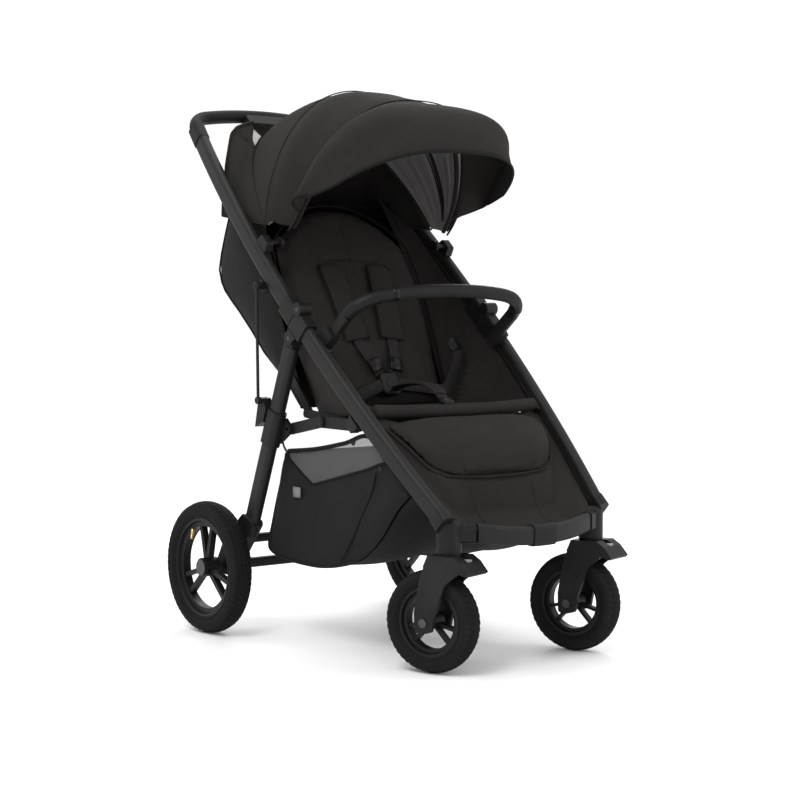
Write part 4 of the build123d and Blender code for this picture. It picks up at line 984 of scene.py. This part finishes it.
def basket_wall(s, top, low, n, m, bulge=0.0):
    """Side wall between two lines, standing out a little in its middle."""
    a_line, b_line = (smooth_line([(0, y, z) for y, z in line], m) for line in (top, low))
    rows = []
    for a, b in zip(a_line, b_line):
        rows.append([a.lerp(b, k) + Vector((s * (basket_half - 0.004 + bulge * sin(pi * k)), 0, 0))
                     for k in np.linspace(0, 1, n)])
    return rows


floor_rows, last = [], len(belly) - 1
for k, p in enumerate(belly):
    low = sin(pi * k / last)
    d = (belly[min(k + 1, last)] - belly[max(k - 1, 0)]).normalized()
    outward = Vector((0, d.z, -d.y))
    row = []
    for u in np.linspace(-1, 1, 41):
        slack = 0.005 * low * (1 - u * u) * cos(6 * u)
        tuck = 0.003 * abs(u) ** 14
        x = u * (basket_half - 0.004 - 0.004 * (1 - low))
        row.append(Vector((x, p.y, p.z)) + outward * (slack - tuck))
    floor_rows.append(row)
bag = cloth("basket_cloth", floor_rows, "shell", "chassis")
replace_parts(bag, "basket")
flap_line = ((-0.228, 0.350), (-0.214, 0.312), (-0.182, 0.262), (-0.150, 0.214), (-0.118, 0.172))
button_dome = ((0.006, 0.001), (0.0062, 0.0028), (0.0045, 0.0036), (0.0030, 0.0029), (0.0005, 0.0032))
for name, s in sides:
    window = basket_wall(s, rim_line[:5], window_low[:7], 9, 33)
    grid(f"basket_net_{name}", window, "net", "chassis")
    side = basket_wall(s, window_low, belly_line, 15, 45, 0.008)
    cloth(f"basket_side_{name}", side, "shell", "chassis")
    x = s * (basket_half - 0.003)
    for part, points, radius in (("window_edge", window_low, 0.0026), ("rim", rim_line, 0.0042)):
        line = smooth_line([(x, y, z) for y, z in points], 50)
        edge_piping(f"basket_{part}_{name}", line, "chassis", radius=radius, up=(1, 0, 0))
    edge_piping(f"basket_side_seam_{name}", [p + Vector((x, 0, 0)) for p in belly], "chassis", radius=0.0022,
                look="shell", up=(1, 0, 0))
    flap_seam = [(x + s * 0.008, y, z) for y, z in flap_line]
    edge_piping(f"basket_flap_seam_{name}", smooth_line(flap_seam, 24), "chassis", radius=0.0017, up=(1, 0, 0))
    tag = [[Vector((x + s * 0.0100, y, z)) for y in (0.008, 0.020, 0.032)] for z in (0.284, 0.294, 0.304)]
    grid(f"basket_tag_{name}", tag, "tag", "chassis", thick=0.001)
    for k, (y, z) in enumerate(((-0.232, 0.356), (-0.150, 0.400))):
        round_angles = np.linspace(0, 2 * pi, 18, endpoint=False)
        disc = [[Vector((x + s * h, y + r * cos(a), z + r * sin(a))) for a in round_angles] for r,
                h in button_dome]
        grid(f"basket_snap_{k}_{name}", disc, "gloss", "chassis", around=True)
    elastic = smooth_line([(s * 0.212, 0.082, 0.415), (s * 0.213, 0.072, 0.395), (s * 0.2125, 0.064, 0.378),
                           (s * 0.2105, 0.056, 0.368)], 14)
    strap(f"basket_loop_{name}", elastic, 0.006, 0.0014, (s, 0, 0))
rear_rim = [(x, 0.057, 0.371 - 0.010 * (1 - (x / basket_half) ** 2))
            for x in np.linspace(-basket_half, basket_half, 30)]
edge_piping("basket_rear_rim", rear_rim, "chassis", radius=0.0042)


# ---- Canopy cloth and harness straps: modifiers applied, each with a mesh of its own ----
def folds_flat(prefixes):
    """Applies the modifiers of the pieces whose names start so, and gives each a mesh of its own."""
    for obj in [o for o in bpy.data.objects if o.name.startswith(prefixes) and o.name not in nodes]:
        if obj.modifiers:
            bake(obj)
        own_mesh(obj)


folds_flat(("canopy_", "visor_", "rear_seam"))
folds_flat(("waist_", "crotch_", "shoulder_tape_", "tape_adjuster_"))


# ---- Tyres with their tread, valves, bumper cover ----
lug, valve_angle = 6, radians(62)


def tyre(name, place, yaw, radius, width, rim, blocks, body, hidden):
    """Tyre about an axle along X turned by yaw, its tread of slanted blocks, each of them lug rows long."""
    h, wall, turned = width / 2, radius - rim, Matrix.Rotation(yaw, 3, "Z")
    profile = [
        (-0.64, rim - 0.001), (-0.86, rim + 0.003), (-0.98, rim + wall * 0.34), (-1.0, rim + wall * 0.55),
        (-0.93, rim + wall * 0.76), (-0.80, radius - 0.0048),
    ]
    crown = [(x, radius - 0.0044 * abs(x / 0.72) ** 2.2) for x in np.linspace(-0.72, 0.72, 21)]
    points = profile + crown + [(-x, r) for x, r in reversed(profile)]
    rows = []
    for k in range(blocks * lug):
        a = 2 * pi * k / (blocks * lug)
        row = []
        for x, r in points:
            cut = 0.0
            if abs(x) < 0.75 and r > radius - 0.006:
                wave = (k / lug + abs(x) * 1.1) % 1.0
                cut = 0.0017 if wave < 0.22 and abs(x) > 0.16 else 0.0
                if 0.10 < abs(x) < 0.17 or 0.47 < abs(x) < 0.53:
                    cut = 0.0015
            elif abs(x) < 0.97 and r > radius - 0.012:
                cut = 0.0009 if ((k / lug + 0.85) % 1.0) < 0.22 else 0.0
            row.append(turned @ Vector((x * h, (r - cut) * cos(a), (r - cut) * sin(a))) + place)
        rows.append(row)
    rows.append(rows[0])
    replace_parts(grid(name, rows, "rubber", body), hidden)
    angles = np.linspace(0, 2 * pi, 72, endpoint=False)
    for ring, r, share in (("bead", rim + 0.0055, 0.93), ("wall", rim + wall * 0.5, 1.0)):
        for side, s in (("in", -1), ("out", 1)):
            line = [turned @ Vector((share * h * s, r * cos(a), r * sin(a))) + place for a in angles]
            sweep(f"{name}_{ring}_{side}", line, round_section(0.0007, 6), "rubber", body,
                  up=(1, 0, 0.01),
                  closed=True)


for name, s in (("right", 1), ("left", -1)):
    centre = Vector((s * rear_axle.x, rear_axle.y, rear_axle.z))
    tyre(f"rear_tread_{name}", centre, 0.0, rear_wheel_r, rear_tyre_w, rear_rim_r, 60, f"rear_wheel_{name}",
         f"rear_tyre_{name}")
    hub = Vector((s * swivel_x, swivel_y, 0))
    hub += Matrix.Rotation(swivel_yaw, 3, "Z") @ Vector((0, swivel_trail, front_wheel_r))
    tyre(f"front_tread_{name}", hub, swivel_yaw, front_wheel_r, front_tyre_w, front_rim_r, 44,
         f"front_wheel_{name}",
         f"front_tyre_{name}")
    spoke = Vector((0, cos(valve_angle), sin(valve_angle)))
    foot = centre + Vector((s * 0.012, 0, 0)) + spoke * (rear_rim_r - 0.014)
    tip = foot + Vector((s * 0.010, 0, 0)) - spoke * 0.022
    valve = [foot.lerp(tip, k / 5) for k in range(6)]
    sweep(f"tyre_valve_{name}", valve, round_section(0.0026, 10), "brass", f"rear_wheel_{name}",
          up=(1, 0, 0),
          sizes=[1.3, 1.25, 1.0, 1.0, 0.9, 0.8])

bar_half = [(0.205, 0.071), (0.198, 0.094), (0.178, 0.114), (0.148, 0.127), (0.10, 0.1355), (0.05, 0.140)]
bar_line = [(-x, y) for x, y in bar_half] + [(0, 0.1412)] + bar_half[::-1]
bar_line = smooth_line([on_bumper(x, y, 0) for x, y in bar_line], 97)
bar_up = (0, bumper_s, bumper_c)
cover = sweep("bumper_cover", bar_line[27:92], round_section(0.0128, 16, 1.02), "grip", "bumper",
              up=bar_up)
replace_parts(cover, "bumper_pad")
for name, part in (("near", bar_line[:28]), ("far", bar_line[91:])):
    sweep(f"bumper_end_{name}", part, round_section(0.0134, 18, 0.94), "plastic", "bumper",
          up=bar_up)
for name, k in (("near", 27), ("far", 91)):
    sweep(f"bumper_ring_{name}", bar_line[k - 1:k + 2], round_section(0.0139, 18, 0.96), "gloss", "bumper",
          up=bar_up)
stitch = [p - Vector(bar_up) * 0.0128 for p in bar_line[28:91]]
sweep("bumper_stitch", stitch, round_section(0.0009, 6), "thread", "bumper", up=(0, -1, 0))

# ---- Floor, light and camera ----
floor = make("floor", [(-4, -3, 0), (5, -3, 0), (5, 6, 0), (-4, 6, 0)], [(0, 1, 2, 3)], "tag")
pale = Shade("pale_floor", 0.6, specular_ior_level=0.2)
pale.colour(pale.mix(pale.noise(pale.object, 3.0), (0.93, 0.93, 0.93, 1), (0.96, 0.96, 0.96, 1)))
floor.data.materials.clear()
floor.data.materials.append(pale.material)

world = bpy.data.worlds.new("studio")
world.use_nodes = True
world.node_tree.nodes["Background"].inputs["Color"].default_value = (1.0, 1.0, 1.0, 1.0)
world.node_tree.nodes["Background"].inputs["Strength"].default_value = 1.06
bpy.context.scene.world = world


def area_light(name, place, target, size, power):
    data = bpy.data.lights.new(name, "AREA")
    data.shape, data.size, data.energy = "DISK", size, power
    obj = bpy.data.objects.new(name, data)
    obj.location = place
    obj.rotation_euler = (Vector(target) - Vector(place)).to_track_quat("-Z", "Y").to_euler()
    bpy.context.scene.collection.objects.link(obj)


area_light("key", (-1.9, -0.9, 2.5), (0, 0, 0.7), 1.2, 34)
area_light("fill", (1.8, -2.2, 1.4), (0, 0, 0.5), 1.6, 14)
area_light("top", (0.2, 0.6, 2.8), (0, 0, 0.6), 1.8, 16)
area_light("rim", (1.5, 1.6, 1.5), (0, 0, 0.6), 1.2, 20)

camera_data = bpy.data.cameras.new("camera")
camera_data.lens, camera_data.sensor_width, camera_data.clip_end = 82.9, 36.0, 50.0
camera = bpy.data.objects.new("camera", camera_data)
camera.location = (-2.248, -2.868, 0.659)
camera.rotation_euler = Vector((0.6199, 0.7829, -0.0531)).to_track_quat("-Z", "Y").to_euler()
bpy.context.scene.collection.objects.link(camera)
bpy.context.scene.camera = camera
bpy.context.scene.view_settings.view_transform = "Standard"
